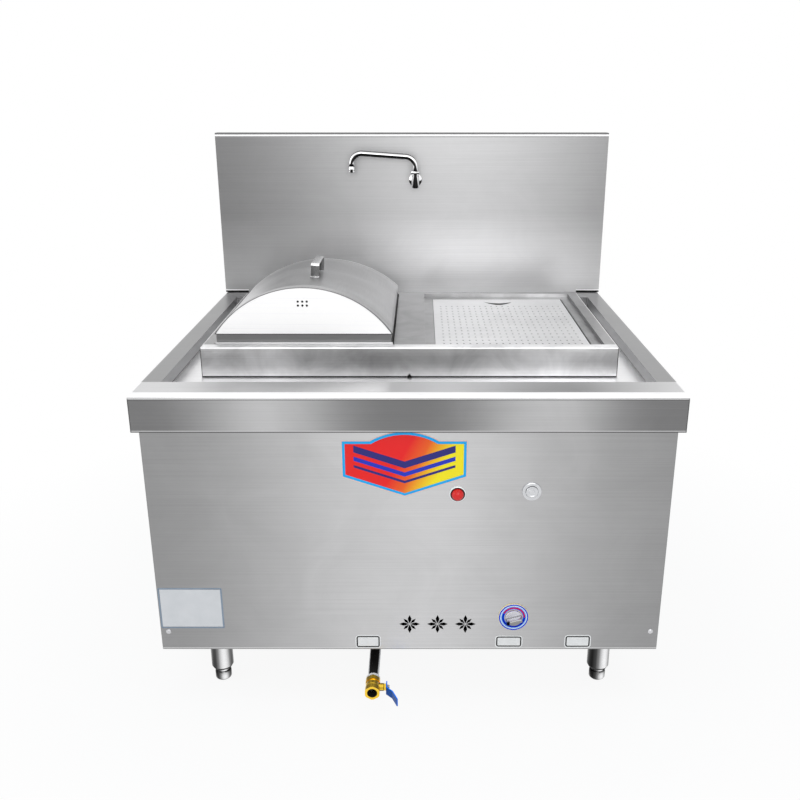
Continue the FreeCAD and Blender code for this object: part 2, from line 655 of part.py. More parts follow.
def wrap_panel(y_face, inward):
    """Front or back skin: a sheet whose sides wrap round the corners and whose foot is hemmed."""
    def between(near, far, x, z0, z1):
        y0, y1 = sorted((y_face + inward * near, y_face + inward * far))
        return block(-x, x, y0, y1, z0, z1)

    skin = between(0, CORNER_FOLD, BODY_X, LEG_HEIGHT, BODY_TOP)
    skin = skin.makeFillet(FOLD_R, edges_along(skin, Z_AXIS, lambda p: abs(p.y - y_face) < 1e-6))
    x = BODY_X - SHEET
    hollow = between(SHEET, CORNER_FOLD + SHEET, x, FLOOR_Z, BODY_TOP + SHEET)
    inner_y = y_face + inward * SHEET
    hollow = hollow.makeFillet(FOLD_R - SHEET, edges_along(hollow, Z_AXIS, lambda p: abs(p.y - inner_y) < 1e-6))
    behind_hem = between(PANEL_HEM, 2 * CORNER_FOLD, x, LEG_HEIGHT - SHEET, FLOOR_Z + SHEET)
    return skin.cut(hollow).cut(behind_hem)


def front_panel():
    """Front skin with its button, knob and screw holes and three flower vents."""
    panel = wrap_panel(PANEL_Y, 1)
    face = PANEL_Y - SHEET
    cutters = []
    for x, z, radius in ((RED_X, RED_Z, BUTTON_BARREL_R), (POWER_X, POWER_Z, BUTTON_BARREL_R),
                         (KNOB_X, KNOB_Z, KNOB_SHAFT_R + SHAFT_PLAY)):
        cutters.append(faceted_rod(radius, 4 * SHEET, Vector(x, face, z), Y_AXIS, BARREL_SIDES))
    for flower in range(VENT_COUNT):
        centre = Vector(VENT_X + flower * VENT_SPACING, face, LEG_HEIGHT + VENT_UP)
        for quarter in range(4):
            cutters.append(petal(PETAL_LONG, PETAL_WIDE, quarter * 90, centre, [(0.35, 0.8), (0.6, 1)]))
            cutters.append(petal(PETAL_SHORT, PETAL_SLIM, quarter * 90 + 45, centre, [(0.55, 1)]))
    return panel.cut(Part.makeCompound(cutters))


def rear_panel():
    """Back skin with the flue opening and two banks of louvre slots."""
    panel = wrap_panel(BODY_BACK, -1)
    near, far = BODY_BACK - 2 * SHEET, BODY_BACK + SHEET
    cutters = [block(-FLUE_WIDTH / 2, FLUE_WIDTH / 2, near, far, FLUE_Z, FLUE_Z + FLUE_HEIGHT)]
    for side in (-1, 1):
        centre = side * BODY_X / 2
        for row in range(LOUVRES):
            z = LEG_HEIGHT + 3 * LOUVRE_PITCH + row * LOUVRE_PITCH
            cutters.append(block(centre - LOUVRE_WIDTH / 2, centre + LOUVRE_WIDTH / 2, near, far,
                                 z, z + LOUVRE_HEIGHT))
    return panel.cut(Part.makeCompound(cutters))


def side_panel():
    """Right-hand side skin between the front and back wraps, hemmed at its foot."""
    y0 = PANEL_Y + CORNER_FOLD
    y1 = BODY_BACK - CORNER_FOLD
    sheet = block(BODY_X - SHEET, BODY_X, y0, y1, LEG_HEIGHT, BODY_TOP)
    hem = block(BODY_X - PANEL_HEM, BODY_X, y0, y1, LEG_HEIGHT, FLOOR_Z)
    return sheet.fuse(hem).removeSplitter()


def bottom_panel():
    """Floor of the casing, lying on the panels' hems, with holes for the riser and the two inlet pipes."""
    x = BODY_X - SHEET
    floor = block(-x, x, PANEL_Y + SHEET, BODY_BACK - SHEET, FLOOR_Z, FLOOR_Z + SHEET)
    floor = floor.makeFillet(FOLD_R - SHEET, edges_along(floor, Z_AXIS, lambda p: True))
    for radius, pipe_x, pipe_y in ((DRAIN_PIPE_R, DRAIN_X, FRONT + DRAIN_RISER), (GAS_PIPE_R, GAS_X, GAS_Y),
                                   (WATER_PIPE_R, WATER_X, PANEL_Y + WATER_INSET)):
        at = Vector(pipe_x, pipe_y, LEG_HEIGHT)
        floor = floor.cut(faceted_rod(radius + PIPE_PLAY, 3 * SHEET, at, sides=PIPE_SIDES))
    return floor


def corner_posts():
    """Four uprights of angle iron, from the casing's floor to the underside of the rim."""
    x1 = BODY_X - SHEET
    posts = []
    for y_out, inward in ((PANEL_Y + SHEET, 1), (BODY_BACK - SHEET, -1)):
        near, far = sorted((y_out, y_out + inward * POST))
        cut_near, cut_far = sorted((y_out + inward * POST_THICK, y_out + inward * (POST + SHEET)))
        post = block(x1 - POST, x1, near, far, FLOOR_Z + SHEET, WORK_HEIGHT - SHEET)
        post = post.makeFillet(FOLD_R, edges_along(post, Z_AXIS, lambda p: p.x > x1 - 1 and abs(p.y - y_out) < 1))
        post = post.cut(block(x1 - POST - SHEET, x1 - POST_THICK, cut_near, cut_far, LEG_HEIGHT, WORK_HEIGHT))
        posts += [post, mirrored(post)]
    return Part.makeCompound(posts)


RAIL_PLACES = [(y, z_top) for z_top in (TANK_FLOOR, SHROUD_Z) for y in (SHROUD_Y0 - RAIL, SHROUD_Y1)]


def frame_rails():
    """Square-tube rails along the shroud: two under the tank and two level with the shroud's foot."""
    x = BODY_X - SHEET - POST_THICK
    rails = []
    for y, z_top in RAIL_PLACES:
        rail = block(-x, x, y, y + RAIL, z_top - RAIL, z_top)
        bore = block(-x, x, y + RAIL_THICK, y + RAIL - RAIL_THICK, z_top - RAIL + RAIL_THICK, z_top - RAIL_THICK)
        rails.append(rail.cut(bore))
    return Part.makeCompound(rails)


def rail_brackets():
    """Plates that tie each rail's end to the side skin."""
    x1 = BODY_X - SHEET
    plates = []
    for y, z_top in RAIL_PLACES:
        plate = block(x1 - POST_THICK, x1, y - RAIL / 2, y + RAIL * 1.5, z_top - RAIL * 1.5, z_top + RAIL / 2)
        plates += [plate, mirrored(plate)]
    return Part.makeCompound(plates)


def panel_screws():
    """Two domed screws through the foot of the front panel."""
    screws = []
    for side in (-1, 1):
        at = Vector(side * (BODY_X - SCREW_FROM_SIDE), PANEL_Y, LEG_HEIGHT + SCREW_UP)
        dome = [(SCREW_R, 0), (SCREW_R, SCREW_HEAD * 0.4), (SCREW_R * 0.5, SCREW_HEAD)]
        screws.append(faceted(dome, at, -Y_AXIS, 12))
    return Part.makeCompound(screws)


# ---- Legs and feet ----------------------------------------------------------

LEG_PLACES = {
    "front_left": (-LEG_X, FRONT + LEG_FROM_FACE),
    "front_right": (LEG_X, FRONT + LEG_FROM_FACE),
    "rear_left": (-LEG_X, BACK - LEG_FROM_FACE),
    "rear_right": (LEG_X, BACK - LEG_FROM_FACE)}


def leg_tubes():
    """Four round legs, each with a square flange under the casing and a bore for the foot's stem."""
    legs = []
    for x, y in LEG_PLACES.values():
        flange_z = FLOOR_Z - LEG_FLANGE_THICK
        half = LEG_FLANGE / 2
        flange = block(x - half, x + half, y - half, y + half, flange_z, FLOOR_Z)
        tube = faceted_rod(LEG_R, flange_z - LEG_END, Vector(x, y, LEG_END), sides=LEG_SIDES)
        socket = faceted_rod(STEM_R + SEAT_GAP, STEM_LENGTH, Vector(x, y, LEG_END), sides=STEM_SIDES)
        legs.append(flange.fuse(tube).cut(socket))
    return Part.makeCompound(legs)


def leg_collars():
    """Black collars that close the ends of the legs, threaded for the feet."""
    collars = []
    for x, y in LEG_PLACES.values():
        at = Vector(x, y, LEG_END - COLLAR)
        collar = faceted_rod(COLLAR_R, COLLAR, at, sides=LEG_SIDES)
        collars.append(collar.cut(faceted_rod(STEM_R + SEAT_GAP, COLLAR, at, sides=STEM_SIDES)))
    return Part.makeCompound(collars)


def foot(x, y):
    """Screw-in foot: a bevelled bullet on its stem."""
    top = LEG_END - COLLAR - SEAT_GAP
    bullet = faceted([(FOOT_FACE_R, 0), (FOOT_R, FOOT_BEVEL), (FOOT_R, top)], Vector(x, y, 0), Z_AXIS, LEG_SIDES)
    stem = faceted_rod(STEM_R, STEM_LENGTH - top, Vector(x, y, top), sides=STEM_SIDES)
    return bullet.fuse(stem)


# ---- Tank, burner and gas train ---------------------------------------------

def steam_tank():
    """Open-topped boiler welded under the basin, with a flange round its mouth."""
    x, y0, y1 = TANK_X - TANK_WALL, TANK_Y0 + TANK_WALL, TANK_Y1 - TANK_WALL
    body = tray(-x, x, y0, y1, TANK_FLOOR + TANK_WALL, TANK_TOP, TANK_WALL)
    flange = block(-TANK_X - TANK_FLANGE, TANK_X + TANK_FLANGE, TANK_Y0 - TANK_FLANGE, TANK_Y1 + TANK_FLANGE,
                   TANK_TOP - TANK_WALL, TANK_TOP)
    flange = flange.cut(block(-x, x, y0, y1, TANK_FLOOR, WORK_HEIGHT))
    drain = faceted_rod(DRAIN_PIPE_R - DRAIN_PIPE_WALL, 3 * TANK_WALL,
                        Vector(DRAIN_X, FRONT + DRAIN_RISER, TANK_FLOOR - TANK_WALL), sides=PIPE_SIDES)
    inlet = faceted_rod(WATER_PIPE_R - PIPE_WALL, 3 * TANK_WALL,
                        Vector(WATER_X, TANK_Y0 - TANK_WALL, TANK_FLOOR + WATER_RISE), Y_AXIS, PIPE_SIDES)
    return body.fuse(flange).cut(drain).cut(inlet).removeSplitter()


def burner_shroud():
    """Sheet box round the flames, open below for air and joined to the flue behind."""
    t = SHROUD_SHEET
    box = block(-SHROUD_X, SHROUD_X, SHROUD_Y0, SHROUD_Y1, SHROUD_Z, TANK_FLOOR)
    box = box.cut(block(-SHROUD_X + t, SHROUD_X - t, SHROUD_Y0 + t, SHROUD_Y1 - t, SHROUD_Z, TANK_FLOOR))
    flue = block(-FLUE_WIDTH / 2 + t, FLUE_WIDTH / 2 - t, SHROUD_Y1 - 2 * t, SHROUD_Y1 + t,
                 FLUE_Z + t, FLUE_Z + FLUE_HEIGHT - t)
    feed_at = Vector(FEED_X, SHROUD_Y0 - t, BURNER_Z)
    feed = faceted_rod(GAS_PIPE_R + PIPE_PLAY, 4 * t, feed_at, Y_AXIS, PIPE_SIDES)
    spark_at = Vector(IGNITER_X, SHROUD_Y0 - t, BURNER_Z + BURNER_TUBE_R + IGNITER_R)
    spark = faceted_rod(IGNITER_R, 4 * t, spark_at, Y_AXIS, IGNITER_SIDES)
    return box.cut(flue).cut(feed).cut(spark)


def flue_duct():
    """Rectangular duct from the shroud, under the rail and out through the back panel."""
    t = SHROUD_SHEET
    duct = block(-FLUE_WIDTH / 2, FLUE_WIDTH / 2, SHROUD_Y1, BODY_BACK + FLUE_COLLAR, FLUE_Z, FLUE_Z + FLUE_HEIGHT)
    return duct.cut(block(-FLUE_WIDTH / 2 + t, FLUE_WIDTH / 2 - t, SHROUD_Y1, BACK,
                          FLUE_Z + t, FLUE_Z + FLUE_HEIGHT - t))


def burner():
    """Row of burner tubes on a cross manifold."""
    y0 = SHROUD_Y0 + BURNER_MARGIN
    y1 = SHROUD_Y1 - BURNER_MARGIN
    manifold_x = BURNER_X + BURNER_TUBE_R
    body = faceted_rod(MANIFOLD_R, 2 * manifold_x, Vector(-manifold_x, y0, BURNER_Z), X_AXIS, BURNER_SIDES)
    for tube in range(BURNER_TUBES):
        at = Vector(tube * TUBE_PITCH - BURNER_X, y0, BURNER_Z)
        body = body.fuse(faceted_rod(BURNER_TUBE_R, y1 - y0, at, Y_AXIS, BURNER_SIDES))
    return body


def burner_bars():
    """Two bars across the shroud that the burner tubes lie on."""
    bars = []
    z1 = BURNER_Z - BURNER_TUBE_R
    for y in (SHROUD_Y0 + 2 * BURNER_MARGIN, SHROUD_Y1 - 2 * BURNER_MARGIN):
        bars.append(block(-SHROUD_X + SHROUD_SHEET, SHROUD_X - SHROUD_SHEET, y, y + RAIL_THICK, z1 - RAIL, z1))
    return Part.makeCompound(bars)


def gas_valve_body():
    """Cast gas cock behind the knob, with its inlet on the right and its outlet on the left."""
    wide, deep, tall = VALVE_BLOCK
    y0 = PANEL_Y + SHEET
    block_y = GAS_Y - deep / 2
    body = block(KNOB_X - wide / 2, KNOB_X + wide / 2, block_y, GAS_Y + deep / 2,
                 KNOB_Z - tall / 2, KNOB_Z + tall / 2)
    neck = faceted_rod(VALVE_NECK_R, block_y - y0, Vector(KNOB_X, y0, KNOB_Z), Y_AXIS, 16)
    shaft = rod(KNOB_SHAFT_R + RUNNING_FIT, block_y - y0 + SHAFT_DEPTH, Vector(KNOB_X, y0, KNOB_Z), Y_AXIS)
    return body.fuse(neck).cut(shaft)


def gas_feed_pipe():
    """Pipe from the gas cock, left past the water riser, up and back to the burner manifold."""
    start = Vector(KNOB_X - VALVE_BLOCK[0] / 2, GAS_Y, KNOB_Z)
    foot = Vector(FEED_X, GAS_Y, KNOB_Z)
    head = Vector(FEED_X, GAS_Y, BURNER_Z)
    end = Vector(FEED_X, SHROUD_Y0 + BURNER_MARGIN - MANIFOLD_R, BURNER_Z)
    return pipe([start, foot, head, end], [PIPE_BEND_R, PIPE_BEND_R], GAS_PIPE_R)


def gas_inlet_pipe():
    """Nipple under the casing, then up and across to the gas cock."""
    start = Vector(GAS_X, GAS_Y, LEG_HEIGHT)
    corner = Vector(GAS_X, GAS_Y, KNOB_Z)
    end = Vector(KNOB_X + VALVE_BLOCK[0] / 2, GAS_Y, KNOB_Z)
    nipple = rod(GAS_PIPE_R, NIPPLE_DROP, start - Z_AXIS * NIPPLE_DROP)
    return pipe([start, corner, end], [PIPE_BEND_R], GAS_PIPE_R).fuse(nipple)


def water_inlet_pipe():
    """Nipple under the casing, then up and back into the tank's front wall."""
    y = PANEL_Y + WATER_INSET
    start = Vector(WATER_X, y, LEG_HEIGHT)
    corner = Vector(WATER_X, y, TANK_FLOOR + WATER_RISE)
    end = Vector(WATER_X, TANK_Y0, TANK_FLOOR + WATER_RISE)
    nipple = rod(WATER_PIPE_R, NIPPLE_DROP, start - Z_AXIS * NIPPLE_DROP)
    return pipe([start, corner, end], [PIPE_BEND_R], WATER_PIPE_R).fuse(nipple)


def control_box():
    """Ignition and water-level controller, hung on the back of the front panel."""
    wide, deep, tall = CONTROL_BOX
    y0 = PANEL_Y + SHEET
    z0 = WORK_HEIGHT - CONTROL_DROP - tall
    x0 = CONTROL_FROM_SIDE - BODY_X
    return block(x0, x0 + wide, y0, y0 + deep, z0, z0 + tall)


def igniter():
    """Spark electrode through the shroud's front wall, over the first burner tube."""
    z = BURNER_Z + BURNER_TUBE_R + IGNITER_R
    start = Vector(IGNITER_X, SHROUD_Y0 - BURNER_MARGIN / 2, z)
    return faceted_rod(IGNITER_R, BURNER_MARGIN * 1.5, start, Y_AXIS, IGNITER_SIDES)


# ---- Buttons and knob -------------------------------------------------------

def button_bezel(x, z, bezel_r, cap_r):
    """Button housing: a bezel on the panel, a barrel through it and a nut behind."""
    centre = Vector(x, PANEL_Y, z)
    face = centre - Y_AXIS * BEZEL_THICK
    bezel = faceted_rod(bezel_r, BEZEL_THICK, face, Y_AXIS, 24)
    barrel = faceted_rod(BUTTON_BARREL_R, SHEET + BUTTON_BARREL, centre, Y_AXIS, BARREL_SIDES)
    nut = hexagon(2 * BUTTON_NUT_R, BUTTON_NUT, centre + Y_AXIS * SHEET, Y_AXIS)
    cap_well = faceted_rod(cap_r + CAP_GAP, BEZEL_THICK - BEZEL_WEB, face, Y_AXIS, CAP_SIDES)
    guide = hexagon(2 * (PLUNGER_R + CAP_GAP), PLUNGER + BUTTON_TRAVEL + CAP_GAP, face, Y_AXIS)
    return bezel.fuse(barrel).fuse(nut).cut(cap_well).cut(guide)


def button_cap(x, z, cap_r, proud, crown):
    """Push cap with its plunger; crown is the height of its domed face."""
    centre = Vector(x, PANEL_Y, z)
    back = BEZEL_WEB + BUTTON_TRAVEL + CAP_GAP
    front = BEZEL_THICK + proud
    cap = faceted([(cap_r, back), (cap_r, front - crown), (cap_r * 0.8, front - crown * 0.38),
                   (cap_r * 0.45, front)], centre, -Y_AXIS, CAP_SIDES)
    plunger = hexagon(2 * PLUNGER_R, PLUNGER - BEZEL_THICK + back, centre - Y_AXIS * back, Y_AXIS)
    return cap.fuse(plunger)


def knob_ring():
    """Flat dial ring between the gas knob and the panel."""
    centre = Vector(KNOB_X, PANEL_Y - KNOB_RING_THICK, KNOB_Z)
    dial = faceted_rod(KNOB_RING_R, KNOB_RING_THICK, centre, Y_AXIS, 32)
    return dial.cut(faceted_rod(KNOB_SHAFT_R + SHAFT_PLAY, KNOB_RING_THICK, centre, Y_AXIS, 12))


def gas_knob():
    """Knob with a raised grip bar, on the shaft that turns the gas cock."""
    seat = PANEL_Y - KNOB_RING_THICK - KNOB_GAP
    base = faceted_rod(KNOB_R, KNOB_BASE, Vector(KNOB_X, seat - KNOB_BASE, KNOB_Z), Y_AXIS, KNOB_SIDES)
    bar = block(-KNOB_BAR / 2, KNOB_BAR / 2, seat - KNOB_DEPTH, seat - KNOB_BASE, -KNOB_R, KNOB_R)
    bar.translate(Vector(KNOB_X, 0, KNOB_Z))
    bar.rotate(Vector(KNOB_X, 0, KNOB_Z), Y_AXIS, KNOB_REST_ANGLE)
    bar = bar.common(faceted_rod(KNOB_R, KNOB_DEPTH, Vector(KNOB_X, seat - KNOB_DEPTH, KNOB_Z), Y_AXIS, KNOB_SIDES))
    shaft_end = GAS_Y - VALVE_BLOCK[1] / 2 + SHAFT_DEPTH - KNOB_GAP
    shaft = rod(KNOB_SHAFT_R, shaft_end - seat, Vector(KNOB_X, seat, KNOB_Z), Y_AXIS)
    return base.fuse(bar).fuse(shaft)


# ---- Swing tap --------------------------------------------------------------

def tap_body():
    """Tap body, its shank through the splash, wall flange and back nut."""
    body = faceted_rod(TAP_BODY_R, TAP_BODY, Vector(TAP_X, TAP_Y, TAP_Z))
    mid_z = TAP_Z + TAP_BODY / 2
    shank = faceted_rod(TAP_SHANK_R, TAP_OFF + SPLASH_THICK / 2, Vector(TAP_X, TAP_Y, mid_z), Y_AXIS)
    socket = rod(SPOUT_R + RUNNING_FIT, SPOUT_SOCKET, Vector(TAP_X, TAP_Y, TAP_NUT_Z - SPOUT_SOCKET))
    return body.fuse(shank).cut(socket)


def tap_flange():
    """Round cover plate where the shank meets the splash."""
    start = Vector(TAP_X, SPLASH_FACE - TAP_FLANGE, TAP_Z + TAP_BODY / 2)
    plate = faceted([(TAP_FLANGE_R * 0.75, 0), (TAP_FLANGE_R, TAP_FLANGE * 0.6), (TAP_FLANGE_R, TAP_FLANGE)],
                    start, Y_AXIS)
    return plate.cut(faceted_rod(TAP_SHANK_R, TAP_FLANGE, start, Y_AXIS))


def tap_back_nut():
    """Nut that clamps the shank from behind the splash."""
    start = Vector(TAP_X, SPLASH_FACE + SHEET, TAP_Z + TAP_BODY / 2)
    return hexagon(TAP_BACK_NUT_AF, TAP_NUT, start, Y_AXIS).cut(faceted_rod(TAP_SHANK_R, TAP_NUT, start, Y_AXIS))


def tap_nut():
    """Gland nut that holds the spout in the body."""
    start = Vector(TAP_X, TAP_Y, TAP_NUT_Z)
    return hexagon(TAP_NUT_AF, TAP_NUT, start).cut(faceted_rod(SPOUT_R + SEAT_GAP, TAP_NUT, start))


def spout_tube():
    """Bent spout: up from the gland, along the splash, and down to its nozzle."""
    spigot = rod(SPOUT_R, SPOUT_SOCKET - SEAT_GAP, Vector(TAP_X, TAP_Y, TAP_NUT_Z - SPOUT_SOCKET + SEAT_GAP))
    points = [Vector(TAP_X, TAP_Y, TAP_NUT_Z), Vector(TAP_X, TAP_Y, SPOUT_LINE_Z),
              Vector(TIP_X, TAP_Y, TIP_LINE_Z), Vector(TIP_X, TAP_Y, NOZZLE_TOP - NOZZLE / 2)]
    return pipe(points, [SPOUT_BEND_R, SPOUT_TIP_R], SPOUT_R, sides=16).fuse(spigot)


def spout_nozzle():
    """Outlet sleeve screwed over the spout's tip."""
    foot = Vector(TIP_X, TAP_Y, NOZZLE_TOP - NOZZLE)
    sleeve = faceted_rod(NOZZLE_R, NOZZLE, foot)
    return sleeve.cut(faceted_rod(NOZZLE_BORE_R, NOZZLE, foot, sides=16)).cut(spout_tube())


# ---- Drain ------------------------------------------------------------------

def drain_pipe():
    """Pipe from the tank's floor down through the casing and forward to the valve."""
    y = FRONT + DRAIN_RISER
    start = Vector(DRAIN_X, VALVE_BACK - PIPE_LAP, DRAIN_HEIGHT)
    corner = Vector(DRAIN_X, y, DRAIN_HEIGHT)
    end = Vector(DRAIN_X, y, TANK_FLOOR)
    return pipe([start, corner, end], [DRAIN_BEND_R], DRAIN_PIPE_R, DRAIN_PIPE_R - DRAIN_PIPE_WALL)


def valve_body():
    """Brass ball valve: two hexagon ends, a round waist and a boss for the stem."""
    front = Vector(DRAIN_X, VALVE_FRONT, DRAIN_HEIGHT)
    socket = Vector(DRAIN_X, VALVE_BACK - PIPE_LAP, DRAIN_HEIGHT)
    rear_hex = Vector(DRAIN_X, VALVE_BACK - VALVE_HEX, DRAIN_HEIGHT)
    stem = Vector(DRAIN_X, STEM_Y, DRAIN_HEIGHT)
    body = faceted_rod(VALVE_WAIST_R, VALVE_LENGTH, front, Y_AXIS, 12)
    body = body.fuse(hexagon(VALVE_AF, VALVE_HEX, front, Y_AXIS)).fuse(hexagon(VALVE_AF, VALVE_HEX, rear_hex, Y_AXIS))
    body = body.fuse(faceted_rod(BOSS_R, BOSS, stem, X_AXIS, 16))
    body = body.cut(faceted_rod(PORT_R, VALVE_LENGTH, front, Y_AXIS, PIPE_SIDES))
    body = body.cut(rod(VALVE_BORE_R, VALVE_BORE, front, Y_AXIS))
    body = body.cut(faceted_rod(DRAIN_PIPE_R, PIPE_LAP, socket, Y_AXIS, PIPE_SIDES))
    half = BALL_HALF + BALL_GAP
    body = body.cut(faceted_rod(BALL_R + BALL_GAP * 2, 2 * half, stem - X_AXIS * half, X_AXIS, 16))
    return body.cut(rod(VALVE_STEM_R + RUNNING_FIT, BOSS, stem, X_AXIS))


def valve_gland():
    """Hexagon gland nut on the boss, round the stem."""
    start = Vector(DRAIN_X + BOSS, STEM_Y, DRAIN_HEIGHT)
    hole = faceted_rod(VALVE_STEM_R + SEAT_GAP, PACKING, start, X_AXIS, 12)
    return hexagon(PACKING_AF, PACKING, start, X_AXIS).cut(hole)


def valve_ball():
    """Ball of the valve with its through port, and the stem that turns it."""
    stem = Vector(DRAIN_X, STEM_Y, DRAIN_HEIGHT)
    shoulder = BALL_R * 0.72
    ball = faceted([(shoulder, -BALL_HALF), (BALL_R, -BALL_HALF / 3), (BALL_R, BALL_HALF / 3),
                    (shoulder, BALL_HALF)], stem, X_AXIS, 16)
    shaft = rod(VALVE_STEM_R, BOSS + PACKING + LEVER_THICK + LEVER_NUT + STEM_END, stem, X_AXIS)
    port = faceted_rod(PORT_R, 4 * BALL_R, stem - Y_AXIS * 2 * BALL_R, Y_AXIS, PIPE_SIDES)
    return ball.fuse(shaft).cut(port)


def valve_lever():
    """Flat lever on the stem: straight past the gland, then stepped and flared outwards."""
    x = DRAIN_X + BOSS + PACKING
    tip = STEM_AHEAD - LEVER_REACH
    points = [Vector(x, STEM_Y + LEVER_TAIL, DRAIN_HEIGHT), Vector(x, STEM_Y - LEVER_KNEE, DRAIN_HEIGHT),
              Vector(x + LEVER_STEP, STEM_Y - LEVER_KNEE - LEVER_RUN, DRAIN_HEIGHT),
              Vector(x + LEVER_STEP + LEVER_FLARE, STEM_Y + tip, DRAIN_HEIGHT)]
    lever = strip(points, LEVER_WIDTH, LEVER_THICK, Z_AXIS, X_AXIS)
    hole_at = Vector(x - LEVER_THICK / 2, STEM_Y, DRAIN_HEIGHT)
    return lever.cut(faceted_rod(VALVE_STEM_R, LEVER_THICK * 2, hole_at, X_AXIS, 12))


def lever_nut():
    """Nut that fixes the lever to the stem."""
    start = Vector(DRAIN_X + BOSS + PACKING + LEVER_THICK, STEM_Y, DRAIN_HEIGHT)
    hole = faceted_rod(VALVE_STEM_R, LEVER_NUT, start, X_AXIS, 12)
    return hexagon(LEVER_NUT_AF, LEVER_NUT, start, X_AXIS).cut(hole)


# ---- Build and write --------------------------------------------------------

def build():
    """Every node of the machine, by name."""
    nodes = {
        "worktop": worktop(),
        "backsplash": backsplash(),
        "steam_platform": steam_platform(),
        "steam_tank": steam_tank(),
        "front_panel": front_panel(),
        "rear_panel": rear_panel(),
        "right_side_panel": side_panel(),
        "left_side_panel": mirrored(side_panel()),
        "bottom_panel": bottom_panel(),
        "corner_posts": corner_posts(),
        "frame_rails": frame_rails(),
        "rail_brackets": rail_brackets(),
        "panel_screws": panel_screws(),
        "leg_tubes": leg_tubes(),
        "leg_collars": leg_collars(),
        "burner_shroud": burner_shroud(),
        "flue_duct": flue_duct(),
        "burner": burner(),
        "burner_bars": burner_bars(),
        "gas_valve_body": gas_valve_body(),
        "gas_feed_pipe": gas_feed_pipe(),
        "gas_inlet_pipe": gas_inlet_pipe(),
        "water_inlet_pipe": water_inlet_pipe(),
        "control_box": control_box(),
        "igniter": igniter(),
        "red_button_bezel": button_bezel(RED_X, RED_Z, RED_BEZEL_R, RED_CAP_R),
        "red_button_cap": button_cap(RED_X, RED_Z, RED_CAP_R, RED_PROUD, RED_PROUD * 0.6),
        "power_button_bezel": button_bezel(POWER_X, POWER_Z, POWER_BEZEL_R, POWER_CAP_R),
        "power_button_cap": button_cap(POWER_X, POWER_Z, POWER_CAP_R, POWER_PROUD, POWER_PROUD * 0.4),
        "knob_ring": knob_ring(),
        "gas_knob": gas_knob(),
        "tap_body": tap_body(),
        "tap_flange": tap_flange(),
        "tap_back_nut": tap_back_nut(),
        "tap_nut": tap_nut(),
        "spout_tube": spout_tube(),
        "spout_nozzle": spout_nozzle(),
        "drain_pipe": drain_pipe(),
        "drain_valve_body": valve_body(),
        "drain_valve_gland": valve_gland(),
        "drain_valve_ball": valve_ball(),
        "drain_valve_lever": valve_lever(),
        "drain_lever_nut": lever_nut(),
        "perforated_plate_left": perforated_plate(-1),
        "perforated_plate_right": perforated_plate(1),
        "lid_skirt": lid_skirt(),
        "lid_shell": lid_shell(),
        "lid_front_plate": lid_end(LID_Y0, True),
        "lid_back_plate": lid_end(LID_Y1 - LID_SHEET, False),
        "lid_grip": lid_grip()}
    for name, (x, y) in LEG_PLACES.items():
        nodes["foot_" + name] = foot(x, y)
    return nodes


os.makedirs("parts", exist_ok=True)
for name, shape in build().items():
    shape.exportStep("parts/" + name + ".step")
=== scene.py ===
import bmesh
import bpy
import math
from mathutils import Matrix, Vector


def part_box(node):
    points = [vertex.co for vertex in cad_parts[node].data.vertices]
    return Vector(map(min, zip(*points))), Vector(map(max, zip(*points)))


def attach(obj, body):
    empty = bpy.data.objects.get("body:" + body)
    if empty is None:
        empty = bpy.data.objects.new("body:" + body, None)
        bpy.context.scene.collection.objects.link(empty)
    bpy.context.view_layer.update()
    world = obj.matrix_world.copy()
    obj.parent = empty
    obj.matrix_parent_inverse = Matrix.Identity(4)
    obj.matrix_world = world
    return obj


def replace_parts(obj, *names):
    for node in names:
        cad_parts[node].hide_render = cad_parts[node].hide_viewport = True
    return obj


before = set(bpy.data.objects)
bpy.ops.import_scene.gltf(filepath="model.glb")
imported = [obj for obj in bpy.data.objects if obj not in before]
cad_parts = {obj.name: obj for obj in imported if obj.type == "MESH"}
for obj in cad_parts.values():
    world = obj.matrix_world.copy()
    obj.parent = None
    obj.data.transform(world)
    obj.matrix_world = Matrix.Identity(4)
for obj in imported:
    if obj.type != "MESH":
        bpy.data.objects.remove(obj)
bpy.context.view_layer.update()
X_AXIS, Y_AXIS, Z_AXIS = Vector((1, 0, 0)), Vector((0, 1, 0)), Vector((0, 0, 1))


# ---- The studio -------------------------------------------------------------
# A camera on a stand in front of the steamer, a little above its splash,
# with a white room, a pale floor and large soft lamps.

def into_scene(name, data):
    """An object in the scene, made from a camera, a lamp, a curve or a mesh."""
    item = bpy.data.objects.new(name, data)
    bpy.context.scene.collection.objects.link(item)
    return item


eye = bpy.data.cameras.new("eye")
eye.lens, eye.sensor_width = 39.68, 36.0
eye.shift_x, eye.shift_y = -0.0253, -0.004
camera = into_scene("eye", eye)
camera.location = (0.02533, -2.2545, 1.4051)
camera.rotation_euler = (math.radians(90 - 19.05), 0, 0)
bpy.context.scene.camera = camera
bpy.context.scene.view_settings.view_transform = "Standard"


def feed(tree, inputs, values):
    """Gives each named input its value, or joins it to another node's output."""
    for name, value in values.items():
        if isinstance(value, bpy.types.NodeSocket):
            tree.links.new(value, inputs[name])
        else:
            inputs[name].default_value = value


def node(tree, kind, values=None, **settings):
    """Adds a shader node with its settings and with what goes into it."""
    made = tree.nodes.new(kind)
    for name, value in settings.items():
        setattr(made, name, value)
    feed(tree, made.inputs, values or {})
    return made


def maths(tree, operation, *values, **settings):
    """A number worked out from numbers or from other nodes' outputs."""
    return node(tree, "ShaderNodeMath", dict(enumerate(values)), operation=operation, **settings).outputs[0]


def vectors(tree, operation, *values):
    """The same for vectors; a length and a dot product come out as a number."""
    made = node(tree, "ShaderNodeVectorMath", dict(enumerate(values)), operation=operation)
    return made.outputs["Value" if operation in ("LENGTH", "DOT_PRODUCT") else "Vector"]


